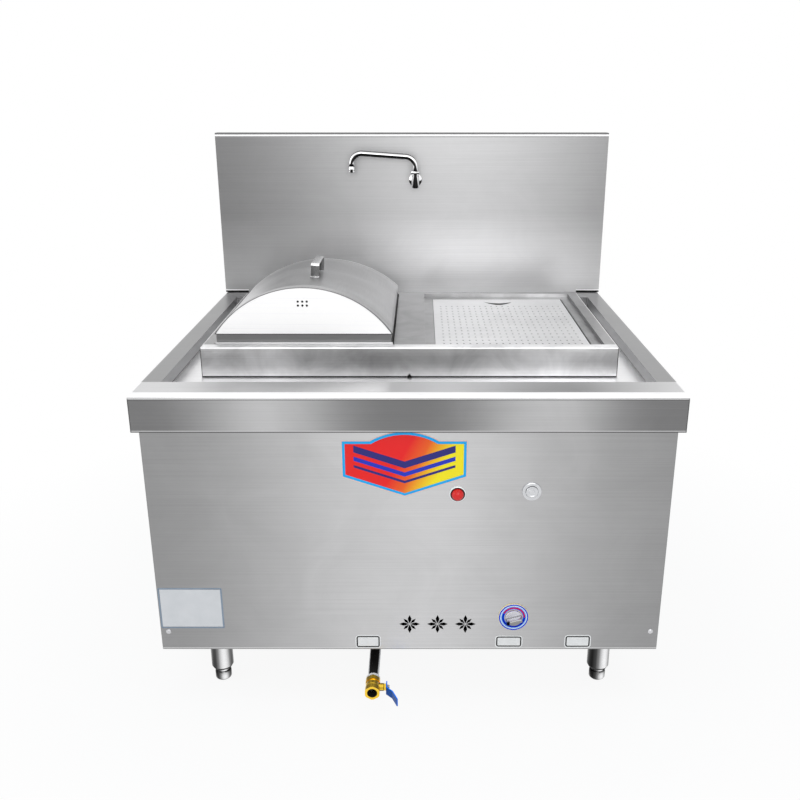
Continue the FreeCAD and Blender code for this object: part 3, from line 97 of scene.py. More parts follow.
def blend(tree, share, low, high, start=0.0, end=1.0):
    """A number that goes from low to high while a mask goes from start to end."""
    return node(tree, "ShaderNodeMapRange", {"Value": share, "From Min": start, "From Max": end,
        "To Min": low, "To Max": high}).outputs["Result"]


def own_place(tree, kind="Object"):
    """Where a point lies on its piece, or with Normal the way it faces."""
    where = tree.nodes.get("where") or node(tree, "ShaderNodeTexCoord", name="where")
    return where.outputs[kind]


def seen_directly(tree):
    """1 for rays from the camera, a mirror or glass, and 0 for the light that falls on things."""
    path = node(tree, "ShaderNodeLightPath").outputs
    either = maths(tree, "MAXIMUM", path["Is Camera Ray"], path["Is Glossy Ray"])
    return maths(tree, "MAXIMUM", either, path["Is Transmission Ray"])


def fresh_material(name, numbers):
    """A new material, its tree and its shader, with some of the shader's own numbers set."""
    made = bpy.data.materials.new(name)
    made.use_nodes = True
    shader = made.node_tree.nodes["Principled BSDF"]
    feed(made.node_tree, shader.inputs, numbers)
    return made, made.node_tree, shader


room = bpy.data.worlds.new("white room")
bpy.context.scene.world = room
room.use_nodes = True
tree = room.node_tree
tree.nodes.clear()
dim = node(tree, "ShaderNodeBackground", {"Color": (0.9, 0.95, 1.0, 1), "Strength": 0.55})
white = node(tree, "ShaderNodeBackground", {"Color": (1, 1, 1, 1), "Strength": 1.0})
pick = node(tree, "ShaderNodeMixShader", {0: seen_directly(tree), 1: dim.outputs[0], 2: white.outputs[0]})
node(tree, "ShaderNodeOutputWorld", {"Surface": pick.outputs[0]})

FLOOR_SIZE = 14.0
FLOOR_SHADE = 0.09                       # how much of its shadow the white floor shows
SHADE_NEAR, SHADE_FAR = 0.85, 1.7        # the shade dies away between these distances
bm = bmesh.new()
bmesh.ops.create_grid(bm, x_segments=1, y_segments=1, size=FLOOR_SIZE / 2)
mesh = bpy.data.meshes.new("floor")
bm.to_mesh(mesh)
bm.free()
floor = into_scene("floor", mesh)
paper, tree, shader = fresh_material("floor paper", {"Base Color": (0.88, 0.88, 0.88, 1), "Roughness": 0.9})
glow = node(tree, "ShaderNodeEmission", {"Strength": 1.0})
distance = vectors(tree, "LENGTH", own_place(tree))
whiteness = blend(tree, distance, 1 - FLOOR_SHADE, 1.0, SHADE_NEAR, SHADE_FAR)
pick = node(tree, "ShaderNodeMixShader", {0: maths(tree, "MULTIPLY", seen_directly(tree), whiteness),
    1: shader.outputs[0], 2: glow.outputs[0]})
feed(tree, tree.nodes["Material Output"].inputs, {"Surface": pick.outputs[0]})
mesh.materials.append(paper)


def softbox(name, place, aim, wide, tall, watts, mirrored=True):
    """A large rectangular lamp turned towards a point; mirrored lets polished metal show it."""
    data = bpy.data.lights.new(name, "AREA")
    data.shape = "RECTANGLE"
    data.size, data.size_y, data.energy = wide, tall, watts
    lamp = into_scene(name, data)
    lamp.location = place
    lamp.rotation_euler = (Vector(aim) - Vector(place)).to_track_quat("-Z", "Y").to_euler()
    lamp.visible_glossy = mirrored


softbox("overhead", (0.2, -0.6, 3.6), (0, 0.1, 0.8), 3.4, 2.4, 34, mirrored=False)
softbox("front", (0.3, -3.6, 2.2), (0, 0, 0.6), 2.6, 1.8, 30)
softbox("left", (-3.2, -1.2, 2.0), (0, 0, 0.6), 1.8, 2.4, 16)


# ---- Worktop, splash and casing --------------------------------------------
# Folded and welded stainless sheet with a horizontal brushed grain and faint
# hand smears; its tone is painted light and shade: broad soft waves of painted
# reflection, greys set by the way each face turns, and painted shade and
# highlight lines at its folds, hems and corners.

def effect(name, vectors_in, numbers_in, numbers_out):
    """An empty shader group with named sockets; gives it, what comes in and what goes out."""
    group = bpy.data.node_groups.new(name, "ShaderNodeTree")
    for labels, way, kind in ((vectors_in, "INPUT", "Vector"), (numbers_in, "INPUT", "Float"),
            (numbers_out, "OUTPUT", "Float")):
        for label in labels:
            group.interface.new_socket(label, in_out=way, socket_type="NodeSocket" + kind)
    return group, node(group, "NodeGroupInput").outputs, node(group, "NodeGroupOutput").inputs


def split(tree, vector):
    """The three numbers of a vector, by the letter of their axis."""
    return node(tree, "ShaderNodeSeparateXYZ", {0: vector}).outputs


brushing, given, result = effect("brushing", ("Vector", "Stretch"), (), ("Streak", "Fine"))
stretched = vectors(brushing, "MULTIPLY", given["Vector"], given["Stretch"])
for label, scale, detail in (("Streak", 1.0, 3.0), ("Fine", 4.0, 1.0)):
    noise = node(brushing, "ShaderNodeTexNoise", {"Vector": stretched, "Scale": scale, "Detail": detail})
    feed(brushing, result, {label: noise.outputs["Fac"]})

smears, given, result = effect("hand smears", ("Vector",), ("Size",), ("Mask",))
cloud = node(smears, "ShaderNodeTexNoise", {"Vector": given["Vector"], "Scale": given["Size"], "Detail": 4.0,
    "Roughness": 0.6, "Distortion": 0.8})
feed(smears, result, {"Mask": blend(smears, cloud.outputs["Fac"], 0.0, 1.0, 0.35, 0.68)})

# Painted reflection: broad soft waves of lighter and darker tone across a sheet, standing for the reflections
# on the steel.
sheen_bands, given, result = effect("painted sheen bands", ("Vector",), ("Centre", "Period", "Sharpness"), ("Mask",))
offset = maths(sheen_bands, "SUBTRACT", split(sheen_bands, given["Vector"])["X"], given["Centre"])
angle = maths(sheen_bands, "MULTIPLY", maths(sheen_bands, "DIVIDE", offset, given["Period"]), 2 * math.pi)
level = maths(sheen_bands, "MULTIPLY_ADD", maths(sheen_bands, "COSINE", angle), 0.5, 0.5)
feed(sheen_bands, result, {"Mask": maths(sheen_bands, "POWER", level, given["Sharpness"], use_clamp=True)})

# Painted light and shade: a grey for side, front and level faces, standing for how light falls on each, and a
# mask for the folded edges between level and upright, which take a painted highlight.
facing_shading, given, result = effect("painted facing shade", ("Facing",), ("Side", "Front", "Level"),
    ("Tone", "Levelness", "Bend"))
squared = vectors(facing_shading, "MULTIPLY", given["Facing"], given["Facing"])
greys = node(facing_shading, "ShaderNodeCombineXYZ", {"X": given["Side"], "Y": given["Front"], "Z": given["Level"]})
levelness = split(facing_shading, squared)["Z"]
between = maths(facing_shading, "MULTIPLY", levelness, maths(facing_shading, "SUBTRACT", 1.0, levelness))
feed(facing_shading, result, {"Tone": vectors(facing_shading, "DOT_PRODUCT", squared, greys.outputs[0]),
    "Levelness": levelness, "Bend": blend(facing_shading, between, 0.0, 1.0, 0.02, 0.07)})

ZONE_FADE = 0.0004               # width of a zone's soft edge
zone, given, result = effect("zone", ("Vector", "Centre", "Half"), (), ("Mask",))
reach = vectors(zone, "ABSOLUTE", vectors(zone, "SUBTRACT", given["Vector"], given["Centre"]))
inside = split(zone, vectors(zone, "SUBTRACT", given["Half"], reach))
least = maths(zone, "MINIMUM", maths(zone, "MINIMUM", inside["X"], inside["Y"]), inside["Z"])
feed(zone, result, {"Mask": blend(zone, least, 0.0, 1.0, 0.0, ZONE_FADE)})


def placed(tree, group, **values):
    """A shader group put into a material, reading the piece's own coordinates; gives its outputs."""
    box = node(tree, "ShaderNodeGroup", values, node_tree=group)
    for label, kind in (("Vector", "Object"), ("Facing", "Normal")):
        if label in box.inputs:
            feed(tree, box.inputs, {label: own_place(tree, kind)})
    return box.outputs


def mixed(tree, share, first, second, kind="FLOAT"):
    """Goes from one number to another with a mask, or with RGBA from one colour to another."""
    made = node(tree, "ShaderNodeMix", {"Factor": share, "A": first, "B": second}, data_type=kind)
    return made.outputs["Result"]


def times(tree, colour, share):
    """A colour made lighter or darker by a number."""
    return node(tree, "ShaderNodeVectorMath", {0: colour, "Scale": share}, operation="SCALE").outputs[0]


def relief(tree, height, strength, depth):
    """Fine bumps that follow a number."""
    made = node(tree, "ShaderNodeBump", {"Strength": strength, "Distance": depth, "Height": height})
    return made.outputs["Normal"]


STEEL_TINT = (1.0, 1.0, 1.01)
GRAIN_BUMP, GRAIN_DEPTH = 0.03, 0.001


def steel(name, tones, grain, sheen_across=(), level_sheen=(), rough=(0.3, 0.42), smear=6.0, cloudy=0.05,
        bend_highlight=None, painted_zones=(), lift=None):
    """Brushed stainless: a fine grain, faint hand smears, and painted light and shade.

    tones are painted greys of its side, front and level faces, standing for how light falls on each,
    and grain stretches the brush lines. A painted reflection band is (centre, period, darkest, sharpness),
    across upright or level faces. Its folded edges take a painted highlight grey, and a zone is a box
    (low corner, high corner) with a painted grey of shade or highlight of its own. lift is (from height,
    to height, times): painted light makes the lower part of an upright sheet that much lighter.
    """
    made, tree, shader = fresh_material(name, {"Metallic": 1.0})
    lines, haze = placed(tree, brushing, Stretch=grain), placed(tree, smears, Size=smear)
    facing = placed(tree, facing_shading, Side=tones[0], Front=tones[1], Level=tones[2])
    masks = []
    for waves in (sheen_across, level_sheen):
        mask = 1.0
        for centre, period, darkest, sharpness in waves:
            wave = placed(tree, sheen_bands, Centre=centre, Period=period, Sharpness=sharpness)
            mask = maths(tree, "MULTIPLY", mask, blend(tree, wave["Mask"], darkest, 1.0))
        masks.append(mask)
    value = maths(tree, "MULTIPLY", facing["Tone"], mixed(tree, facing["Levelness"], *masks))
    if lift:
        height = split(tree, own_place(tree))["Z"]
        value = maths(tree, "MULTIPLY", value, blend(tree, height, lift[2], 1.0, lift[0], lift[1]))
    if bend_highlight:
        value = mixed(tree, facing["Bend"], value, bend_highlight)
    for low, high, grey in painted_zones:
        low, high = Vector(low), Vector(high)
        part = placed(tree, zone, Centre=(low + high) / 2, Half=(high - low) / 2)
        value = mixed(tree, part["Mask"], value, grey)
    value = maths(tree, "MULTIPLY", value, blend(tree, lines["Streak"], 0.9, 1.1))
    value = maths(tree, "MULTIPLY", value, blend(tree, haze["Mask"], 1 - cloudy, 1 + cloudy / 2))
    gloss = blend(tree, maths(tree, "MULTIPLY", lines["Fine"], haze["Mask"]), *rough)
    feed(tree, shader.inputs, {"Base Color": times(tree, STEEL_TINT, value), "Roughness": gloss,
        "Normal": relief(tree, lines["Fine"], GRAIN_BUMP, GRAIN_DEPTH)})
    return made


def dress(material, *names):
    """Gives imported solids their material."""
    for name in names:
        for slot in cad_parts[name].material_slots:
            slot.material = material


ALONG_X, ALONG_Y = (3.0, 500.0, 500.0), (500.0, 3.0, 500.0)      # which way the brush lines run
WIDE = 2.0                       # well past the steamer on every side
SKIN = 0.001                     # how far a zone reaches through the face it lies on
LINE = 0.0022                    # width of the painted shade line at a fold or a hem


def stripe(y, low, high, grey, left=-WIDE, right=WIDE):
    """A zone of painted shade or highlight on the upright face at y, between two heights."""
    return (left, y - SKIN, low), (right, y + SKIN, high), grey


RIM_TOP = 0.8
BASIN_FRONT, BASIN_FLOOR, BASIN_SIDE, FLOOR_PAINT_REACH = -0.4015, 0.77, 0.548, 0.0004
ROLL_FOOT, ROLL_LIT, APRON_TOP = 0.7848, 0.7892, 0.788       # heights of the rolled rim's painted shade and highlight lines
apron_low, apron_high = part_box("worktop")
front_y, hem_z, edge_x = apron_low.y, apron_low.z, apron_high.x
# Painted light and shade on the worktop: side and back rims painted darker, the basin floor painted light with
# a painted shade line where its walls meet it, and on the apron painted shade lines at its hem, its corners
# and the roll's foot, with painted highlights above the hem and over the roll.
top_shading = [((-WIDE, BASIN_FRONT, RIM_TOP - SKIN), (WIDE, WIDE, RIM_TOP + SKIN), 0.315),
    ((-WIDE, BASIN_FRONT - 0.01, BASIN_FLOOR - 2 * SKIN),
    (WIDE, WIDE, BASIN_FLOOR + FLOOR_PAINT_REACH), 0.95),
    ((-BASIN_SIDE - 2 * SKIN, BASIN_FRONT, BASIN_FLOOR + FLOOR_PAINT_REACH),
    (BASIN_SIDE + 2 * SKIN, WIDE, BASIN_FLOOR + 3 * SKIN), 0.03)]
top_shading += [stripe(front_y, low, high, grey, -edge_x, edge_x) for low, high, grey in (
    (hem_z + LINE, hem_z + 2 * LINE, 0.62), (hem_z - LINE, hem_z + LINE, 0.1),
    (ROLL_FOOT, ROLL_FOOT + LINE, 0.12), (ROLL_FOOT + LINE, ROLL_LIT, 1.0))]
top_shading += [stripe(front_y, hem_z, APRON_TOP, 0.1, x - LINE, x + LINE) for x in (-edge_x, edge_x)]
# Painted light: greys set by the way each face turns, a painted reflection wave across the apron and another
# over the level top, and a painted highlight on its folds.
dress(steel("worktop steel", (1.0, 0.53, 0.68), ALONG_X, [(-0.304, 0.596, 0.39, 1.5)],
    [(0.05, 0.6, 0.5, 1.0)], bend_highlight=1.0, painted_zones=top_shading), "worktop")

TOP_FOLD_SHADING = ((-0.0128, -0.0095, 0.3), (-0.0095, -0.0045, 1.0), (-0.0045, 0.001, 0.18))    # painted shade, highlight and shade lines of the folded top edge: from, to, grey
# A painted shadow line at the foot of the splash, and a painted highlight above it: from, to, grey.
FOOT_SHADOW = ((-0.001, 0.0052, 0.012), (0.0052, 0.0085, 0.95))
SHADOW_FROM_X = 0.524                   # the painted shadow line at the splash's foot runs from here out to each end
splash_low, splash_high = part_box("backsplash")
splash_shading = [((-WIDE, splash_low.y - SKIN, splash_high.z + low),
    (WIDE, splash_high.y, splash_high.z + high), grey) for low, high, grey in TOP_FOLD_SHADING]
splash_shading += [stripe(splash_low.y, splash_low.z + low, splash_low.z + high, grey, left, right)
    for left, right in ((-edge_x, -SHADOW_FROM_X), (SHADOW_FROM_X, edge_x)) for low, high, grey in FOOT_SHADOW]
# Painted reflection waves across the splash, greys set by the way each face turns, and its lower part painted
# lighter.
dress(steel("splash steel", (0.4, 0.6, 0.3), ALONG_X, [(0.214, 1.7, 0.38, 1.0), (-0.3, 2.4, 0.7, 1.0)],
    rough=(0.42, 0.55), painted_zones=splash_shading, lift=(0.85, 1.05, 1.6)), "backsplash")

panel_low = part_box("front_panel")[0]
# Painted light and shade on the panel: a painted highlight under the apron's hem, a painted shade line at its
# foot with a painted highlight above it, and a painted reflection wave, brightest near the middle.
panel_shading = [stripe(panel_low.y, low, high, grey) for low, high, grey in (
    (hem_z - 2 * LINE, hem_z, 0.78), (panel_low.z + LINE, panel_low.z + 2 * LINE, 0.72),
    (panel_low.z - LINE, panel_low.z + LINE, 0.3))]
dress(steel("panel steel", (0.3, 0.63, 0.3), ALONG_X, [(0.012, 1.24, 0.51, 1.0)], painted_zones=panel_shading),
    "front_panel")
# Painted light: greys set by the way each face turns, and on the rear sheet a painted reflection wave.
dress(steel("side steel", (0.5, 0.5, 0.4), ALONG_Y), "left_side_panel", "right_side_panel")
dress(steel("rear steel", (0.4, 0.55, 0.4), ALONG_X, [(0.0, 1.4, 0.6, 1.0)]), "rear_panel")

WELL_Y, WELL_X, WELL_END, DIVIDER_SHADOW = 0.023, 0.037, 0.460, 0.0042     # a well's front, its two ends, and the width of the painted shadow line between the lid and the divider
block_low, block_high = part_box("steam_platform")
well_front = block_low.y + WELL_Y
# Painted light and shade on the platform: its front top strip painted white, a painted shadow line along its
# foot and painted shade lines at its front corners, a painted shadow line between the lid and the divider, and
# the wells' end walls painted darker.
block_shading = [((-WIDE, block_low.y - SKIN, block_high.z - SKIN),
    (WIDE, well_front, block_high.z + SKIN), 1.0),
    stripe(block_low.y, block_low.z, BASIN_FLOOR + 0.0035, 0.02)]
block_shading += [stripe(block_low.y, BASIN_FLOOR, block_high.z, 0.2, x - LINE, x + LINE)
    for x in (block_low.x, block_high.x)]
block_shading += [((left, well_front, BASIN_FLOOR), (right, block_high.y - 0.015, block_high.z - 0.0005), grey)
    for left, right, grey in (
    (-WELL_X - DIVIDER_SHADOW, -WELL_X + 0.0006, 0.01), (WELL_END - SKIN, WELL_END + SKIN, 0.3),
    (WELL_X - SKIN, WELL_X + SKIN, 0.5), (-WELL_END - SKIN, -WELL_END + SKIN, 0.5))]
# Painted light: greys set by the way each face turns, a painted reflection wave, a painted highlight on its
# folds, and its lower part painted lighter.
dress(steel("platform steel", (0.95, 0.77, 0.44), ALONG_X, [(0.55, 1.2, 0.5, 1.0)], smear=9.0, cloudy=0.22,
    rough=(0.34, 0.5), bend_highlight=0.95, painted_zones=block_shading, lift=(0.775, 0.8, 1.14)), "steam_platform")
dress(steel("tank steel", (0.16, 0.16, 0.2), ALONG_X, rough=(0.35, 0.5), cloudy=0.25),
    "steam_tank", "burner_shroud", "flue_duct")
dress(steel("floor steel", (0.4, 0.4, 0.4), ALONG_X, rough=(0.35, 0.5), cloudy=0.25), "bottom_panel")


# ---- Inner frame, burner and controls --------------------------------------
# Angle posts and rails in grey primer, a row of cast burner tubes, a gas
# cock of cast aluminium, the controller's box and the igniter's ceramic.

mottle, given, result = effect("mottle", ("Vector",), ("Size",), ("Blotch", "Grit"))
for label, finer, detail in (("Blotch", 1.0, 3.0), ("Grit", 12.0, 2.0)):
    noise = node(mottle, "ShaderNodeTexNoise", {"Vector": given["Vector"], "Detail": detail,
        "Scale": maths(mottle, "MULTIPLY", given["Size"], finer)})
    feed(mottle, result, {label: noise.outputs["Fac"]})
GRIT_DEPTH = 0.0005


def finish(name, dark, light, size=20.0, metallic=0.0, rough=(0.4, 0.6), bump=0.1, coat=0.0):
    """A paint, cast metal, plastic or rubber whose tone and gloss vary a little over it."""
    made, tree, shader = fresh_material(name, {"Metallic": metallic, "Coat Weight": coat})
    spots = placed(tree, mottle, Size=size)
    feed(tree, shader.inputs, {"Base Color": mixed(tree, spots["Blotch"], (*dark, 1), (*light, 1), "RGBA"),
        "Roughness": blend(tree, spots["Grit"], *rough),
        "Normal": relief(tree, spots["Grit"], bump, GRIT_DEPTH)})
    return made


dress(finish("grey primer", (0.16, 0.17, 0.18), (0.26, 0.27, 0.29)),
    "corner_posts", "frame_rails", "rail_brackets", "burner_bars")
dress(finish("burner iron", (0.05, 0.05, 0.05), (0.13, 0.12, 0.11), 30.0, 0.6, (0.6, 0.85), 0.4), "burner")
dress(finish("cast aluminium", (0.42, 0.42, 0.43), (0.6, 0.6, 0.61), 60.0, 1.0, (0.4, 0.6), 0.3),
    "gas_valve_body")
dress(finish("galvanised pipe", (0.36, 0.37, 0.38), (0.55, 0.56, 0.57), 40.0, 1.0, (0.35, 0.55)),
    "gas_feed_pipe")
dress(finish("controller plastic", (0.04, 0.04, 0.045), (0.07, 0.07, 0.075)), "control_box")
dress(finish("igniter ceramic", (0.7, 0.69, 0.65), (0.85, 0.84, 0.8), rough=(0.15, 0.25)), "igniter")


# ---- Legs and feet ----------------------------------------------------------
# Stout tubes welded to a plate under the casing, closed by a black plastic
# collar, with a round steel foot that screws up and down in each.

def piece(bm, name, material, body, crease=35.0):
    """Turns a finished bmesh into an object with its material, on its body."""
    bmesh.ops.remove_doubles(bm, verts=bm.verts, dist=1e-6)
    bmesh.ops.dissolve_degenerate(bm, edges=bm.edges, dist=1e-7)
    bmesh.ops.recalc_face_normals(bm, faces=bm.faces)
    made = bpy.data.meshes.new(name)
    bm.to_mesh(made)
    bm.free()
    for face in made.polygons:
        face.use_smooth = True
    made.set_sharp_from_angle(angle=math.radians(crease))
    made.materials.append(material)
    item = into_scene(name, made)
    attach(item, body)
    return item


def turned(bm, outline, start, axis=Z_AXIS, steps=48, closed=False):
    """Turns an outline of (radius, height) pairs about an axis, as on a lathe."""
    side = axis.orthogonal().normalized()
    points = [bm.verts.new(start + side * radius + axis * height) for radius, height in outline]
    edges = [bm.edges.new(pair) for pair in zip(points, points[1:])]
    if closed:
        edges.append(bm.edges.new((points[-1], points[0])))
    bmesh.ops.spin(bm, geom=points + edges, cent=start, axis=axis, angle=2 * math.pi, steps=steps,
        use_merge=True)


def block(bm, low, high):
    """A plain block between two corners."""
    made = bmesh.ops.create_cube(bm, size=1)["verts"]
    bmesh.ops.scale(bm, vec=Vector(high) - Vector(low), verts=made)
    bmesh.ops.translate(bm, vec=(Vector(low) + Vector(high)) / 2, verts=made)


def middle(name):
    """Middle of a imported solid's box."""
    low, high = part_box(name)
    return (low + high) / 2


sheen, given, result = effect("polished sheen", ("Facing", "Towards"), (), ("Mask",))
level_with = vectors(sheen, "DOT_PRODUCT", given["Facing"], given["Towards"])
feed(sheen, result, {"Mask": blend(sheen, level_with, 0.0, 1.0, -1.0, 1.0)})


def ramped(tree, share, stops):
    """A colour ramp with its (place, colour) stops, lowest first."""
    ramp = node(tree, "ShaderNodeValToRGB", {"Fac": share})
    elements = ramp.color_ramp.elements
    elements.remove(elements[-1])
    elements[0].position, elements[0].color = stops[0][0], (*stops[0][1], 1)
    for place, colour in stops[1:]:
        elements.new(place).color = (*colour, 1)
    return ramp


def polished(name, towards, greys, rough=(0.12, 0.22), tint=STEEL_TINT, metallic=1.0):
    """A buffed surface with a painted reflection: its tone swings with the way it faces; greys are (mask,
    grey) steps.
    """
    made, tree, shader = fresh_material(name, {"Metallic": metallic,
        "Specular IOR Level": 0.5 if metallic else 0.12})
    facing = placed(tree, sheen, Towards=Vector(towards).normalized())
    ramp = ramped(tree, facing["Mask"], [(place, [grey * part for part in tint]) for place, grey in greys])
    spots = placed(tree, mottle, Size=60.0)
    sheen_and_blotch = times(tree, ramp.outputs["Color"], blend(tree, spots["Blotch"], 0.94, 1.06))
    feed(tree, shader.inputs, {"Base Color": sheen_and_blotch, "Roughness": blend(tree, spots["Grit"], *rough)})
    return made


# Painted reflection: the legs and feet are near black, and bright only where they face front and right.
LEG_SHEEN = ((0.25, 0.01), (0.7, 0.012), (0.85, 0.06), (0.93, 0.24), (0.975, 0.66), (1.0, 0.95))
leg_steel, foot_steel = [polished(name, (0.4, -0.92, 0.0), LEG_SHEEN) for name in ("leg steel", "foot steel")]
collar_black = finish("collar rubber", (0.012, 0.012, 0.012), (0.03, 0.03, 0.03), 60.0)
LEG_R, LEG_WALL, PLATE_HALF, PLATE_THICK, WELD, LIP = 0.027, 0.002, 0.045, 0.004, 0.004, 0.0005
COLLAR_R, STEM_R, PLAY = 0.024, 0.006, 0.0003
leg_low, leg_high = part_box("leg_tubes")
collar_low, collar_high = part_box("leg_collars")
bore_r, plate_z, collar_top = LEG_R - LEG_WALL, leg_high.z - PLATE_THICK, collar_high.z - PLAY
tubes, collars = bmesh.new(), bmesh.new()
for foot_name in ("foot_front_left", "foot_rear_left", "foot_front_right", "foot_rear_right"):
    foot_low, foot_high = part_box(foot_name)
    at = middle(foot_name) * Vector((1, 1, 0))
    turned(tubes, [(bore_r, plate_z), (bore_r, leg_low.z + LIP), (bore_r + LIP, leg_low.z),
        (LEG_R - LIP, leg_low.z), (LEG_R, leg_low.z + LIP), (LEG_R, plate_z - WELD),
        (LEG_R + WELD * 0.3, plate_z - WELD * 0.4), (LEG_R + WELD, plate_z)], at)
    block(tubes, at + Vector((-PLATE_HALF, -PLATE_HALF, plate_z)),
        at + Vector((PLATE_HALF, PLATE_HALF, leg_high.z)))
    turned(collars, [(STEM_R + 0.001, collar_low.z), (COLLAR_R - 0.001, collar_low.z),
        (COLLAR_R, collar_low.z + 0.001), (COLLAR_R, collar_top),
        (STEM_R + 0.001, collar_top)], at, closed=True)
    bm = bmesh.new()
    foot_r = (foot_high.x - foot_low.x) / 2
    turned(bm, [(0, 0), (0.015, 0), (0.019, 0.0035), (foot_r, 0.006), (foot_r, 0.022), (foot_r - 0.002, 0.025),
        (0.0165, 0.0262), (0.0165, 0.034), (0.0155, 0.035), (STEM_R, 0.035),
        (STEM_R, foot_high.z - 0.001), (STEM_R - 0.001, foot_high.z), (0, foot_high.z)], at)
    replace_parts(piece(bm, f"{foot_name}_turned", foot_steel, foot_name), foot_name)
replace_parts(piece(tubes, "leg_tubes_welded", leg_steel, "cabinet"), "leg_tubes")
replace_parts(piece(collars, "leg_collar_rings", collar_black, "cabinet"), "leg_collars")


# ---- Pipes under the casing -------------------------------------------------
# Water and gas tails, and the drain pipe that comes forward to its valve:
# bent steel tube, open at both ends.

def tube_run(bm, ring, along):
    """Draws the tube's end out in a straight run."""
    drawn = bmesh.ops.extrude_edge_only(bm, edges=ring)["geom"]
    corners = [item for item in drawn if isinstance(item, bmesh.types.BMVert)]
    bmesh.ops.translate(bm, vec=along, verts=corners)
    return [item for item in drawn if isinstance(item, bmesh.types.BMEdge)
        and item.verts[0] in corners and item.verts[1] in corners]


def tube_bend(bm, ring, centre, axis, angle, steps):
    """Takes the tube's end round a bend."""
    corners = list({corner for edge in ring for corner in edge.verts})
    swept = bmesh.ops.spin(bm, geom=corners + ring, cent=centre, axis=axis, angle=angle, steps=steps)
    return [item for item in swept["geom_last"] if isinstance(item, bmesh.types.BMEdge)]


def upright_to(axis):
    """The turn that stands a shape made along Z on another axis."""
    return axis.to_track_quat("Z", "Y").to_matrix().to_4x4()


def links(corners):
    """Every edge that meets these corners."""
    return list({edge for corner in corners for edge in corner.link_edges})


def walled(item, name, thick, offset=-1):
    """Gives a sheet its thickness, inwards unless told otherwise."""
    wall = item.modifiers.new(name, "SOLIDIFY")
    wall.thickness, wall.offset = thick, offset


def bent_pipe(name, points, bend_r, radius, wall, material, body, slot, steps=10):
    """A tube along straight runs joined by bends of one radius, open at both ends."""
    bm = bmesh.new()
    points = [Vector(point) for point in points]
    here, heading = points[0], (points[1] - points[0]).normalized()
    mouth = bmesh.ops.create_circle(bm, segments=32, radius=radius)["verts"]
    bmesh.ops.transform(bm, matrix=Matrix.Translation(here) @ upright_to(heading), verts=mouth)
    ring = links(mouth)
    for corner, after in zip(points[1:], points[2:]):
        leaving = (after - corner).normalized()
        turn = heading.angle(leaving)
        back = bend_r * math.tan(turn / 2)
        ring = tube_run(bm, ring, corner - heading * back - here)
        axis = heading.cross(leaving).normalized()
        ring = tube_bend(bm, ring, corner - heading * back + axis.cross(heading) * bend_r, axis, turn, steps)
        here, heading = corner + leaving * back, leaving
    tube_run(bm, ring, points[-1] - here)
    item = piece(bm, name, material, body, crease=50)
    walled(item, "wall", wall)
    return item


pipe_steel = finish("pipe steel", (0.3, 0.3, 0.31), (0.5, 0.5, 0.51), 30.0, 1.0, (0.3, 0.45))
# Painted reflection: the dark pipe is painted light along its sides, darker below and near black on top.
PIPE_SHEEN = ((0.0, 0.3), (0.5, 0.8), (0.7, 0.8), (0.78, 0.004), (1.0, 0.003))
dark_pipe = polished("black pipe sheen", (0.0, 0.0, 1.0), PIPE_SHEEN, rough=(0.4, 0.5), metallic=0.0)
PIPE_R, PIPE_WALL, BEND_R = 0.0105, 0.002, 0.028
DRAIN_R, DRAIN_WALL, DRAIN_BEND = 0.01345, 0.0026, 0.038
low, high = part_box("water_inlet_pipe")
x, y, top = (low.x + high.x) / 2, low.y + PIPE_R, high.z - PIPE_R
water_line = (x, y, low.z), (x, y, top), (x, high.y, top)
low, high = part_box("gas_inlet_pipe")
x, y, top = high.x - PIPE_R, (low.y + high.y) / 2, high.z - PIPE_R
gas_line = (x, y, low.z), (x, y, top), (low.x, y, top)
low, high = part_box("drain_pipe")
drain_x, drain_z, y = (low.x + high.x) / 2, low.z + DRAIN_R, high.y - DRAIN_R
drain_line = (drain_x, low.y, drain_z), (drain_x, y, drain_z), (drain_x, y, high.z)
for name, line, sizes, metal, slot, node_name in (
        ("water_tail", water_line, (BEND_R, PIPE_R, PIPE_WALL), pipe_steel, "water_pipe", "water_inlet_pipe"),
        ("gas_tail", gas_line, (BEND_R, PIPE_R, PIPE_WALL), pipe_steel, "gas_pipe", "gas_inlet_pipe"),
        ("drain_run", drain_line, (DRAIN_BEND, DRAIN_R, DRAIN_WALL), dark_pipe, "water_pipe", "drain_pipe")):
    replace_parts(bent_pipe(name, line, *sizes, metal, "cabinet", slot), node_name)


# ---- Steam plates -----------------------------------------------------------
# A satin sheet with turned-down edges in each well, punched with rows of
# round holes, and a crescent slot at the back to lift it by.

def flat_shape(outlines, thick):
    """A bmesh filled between flat outlines; each is a list of points or a (centre, radius) hole."""
    curve = bpy.data.curves.new("flat shape", "CURVE")
    curve.dimensions, curve.fill_mode, curve.extrude = "2D", "BOTH", thick / 2
    for outline in outlines:
        if isinstance(outline, tuple):
            centre, radius = outline
            spline = curve.splines.new("BEZIER")
            spline.bezier_points.add(3)
            spline.resolution_u = 4
            for point, (x, y) in zip(spline.bezier_points, ((1, 0), (0, 1), (-1, 0), (0, -1))):
                point.co = (centre[0] + radius * x, centre[1] + radius * y, 0)
                point.handle_left_type = point.handle_right_type = "AUTO"
        else:
            spline = curve.splines.new("POLY")
            spline.points.add(len(outline) - 1)
            for point, (x, y) in zip(spline.points, outline):
                point.co = (x, y, 0, 1)
        spline.use_cyclic_u = True
    holder = into_scene("flat shape", curve)
    bpy.context.view_layer.update()
    filled = bpy.data.meshes.new_from_object(holder.evaluated_get(bpy.context.evaluated_depsgraph_get()))
    bpy.data.objects.remove(holder)
    bm = bmesh.new()
    bm.from_mesh(filled)
    bpy.data.meshes.remove(filled)
    return bm


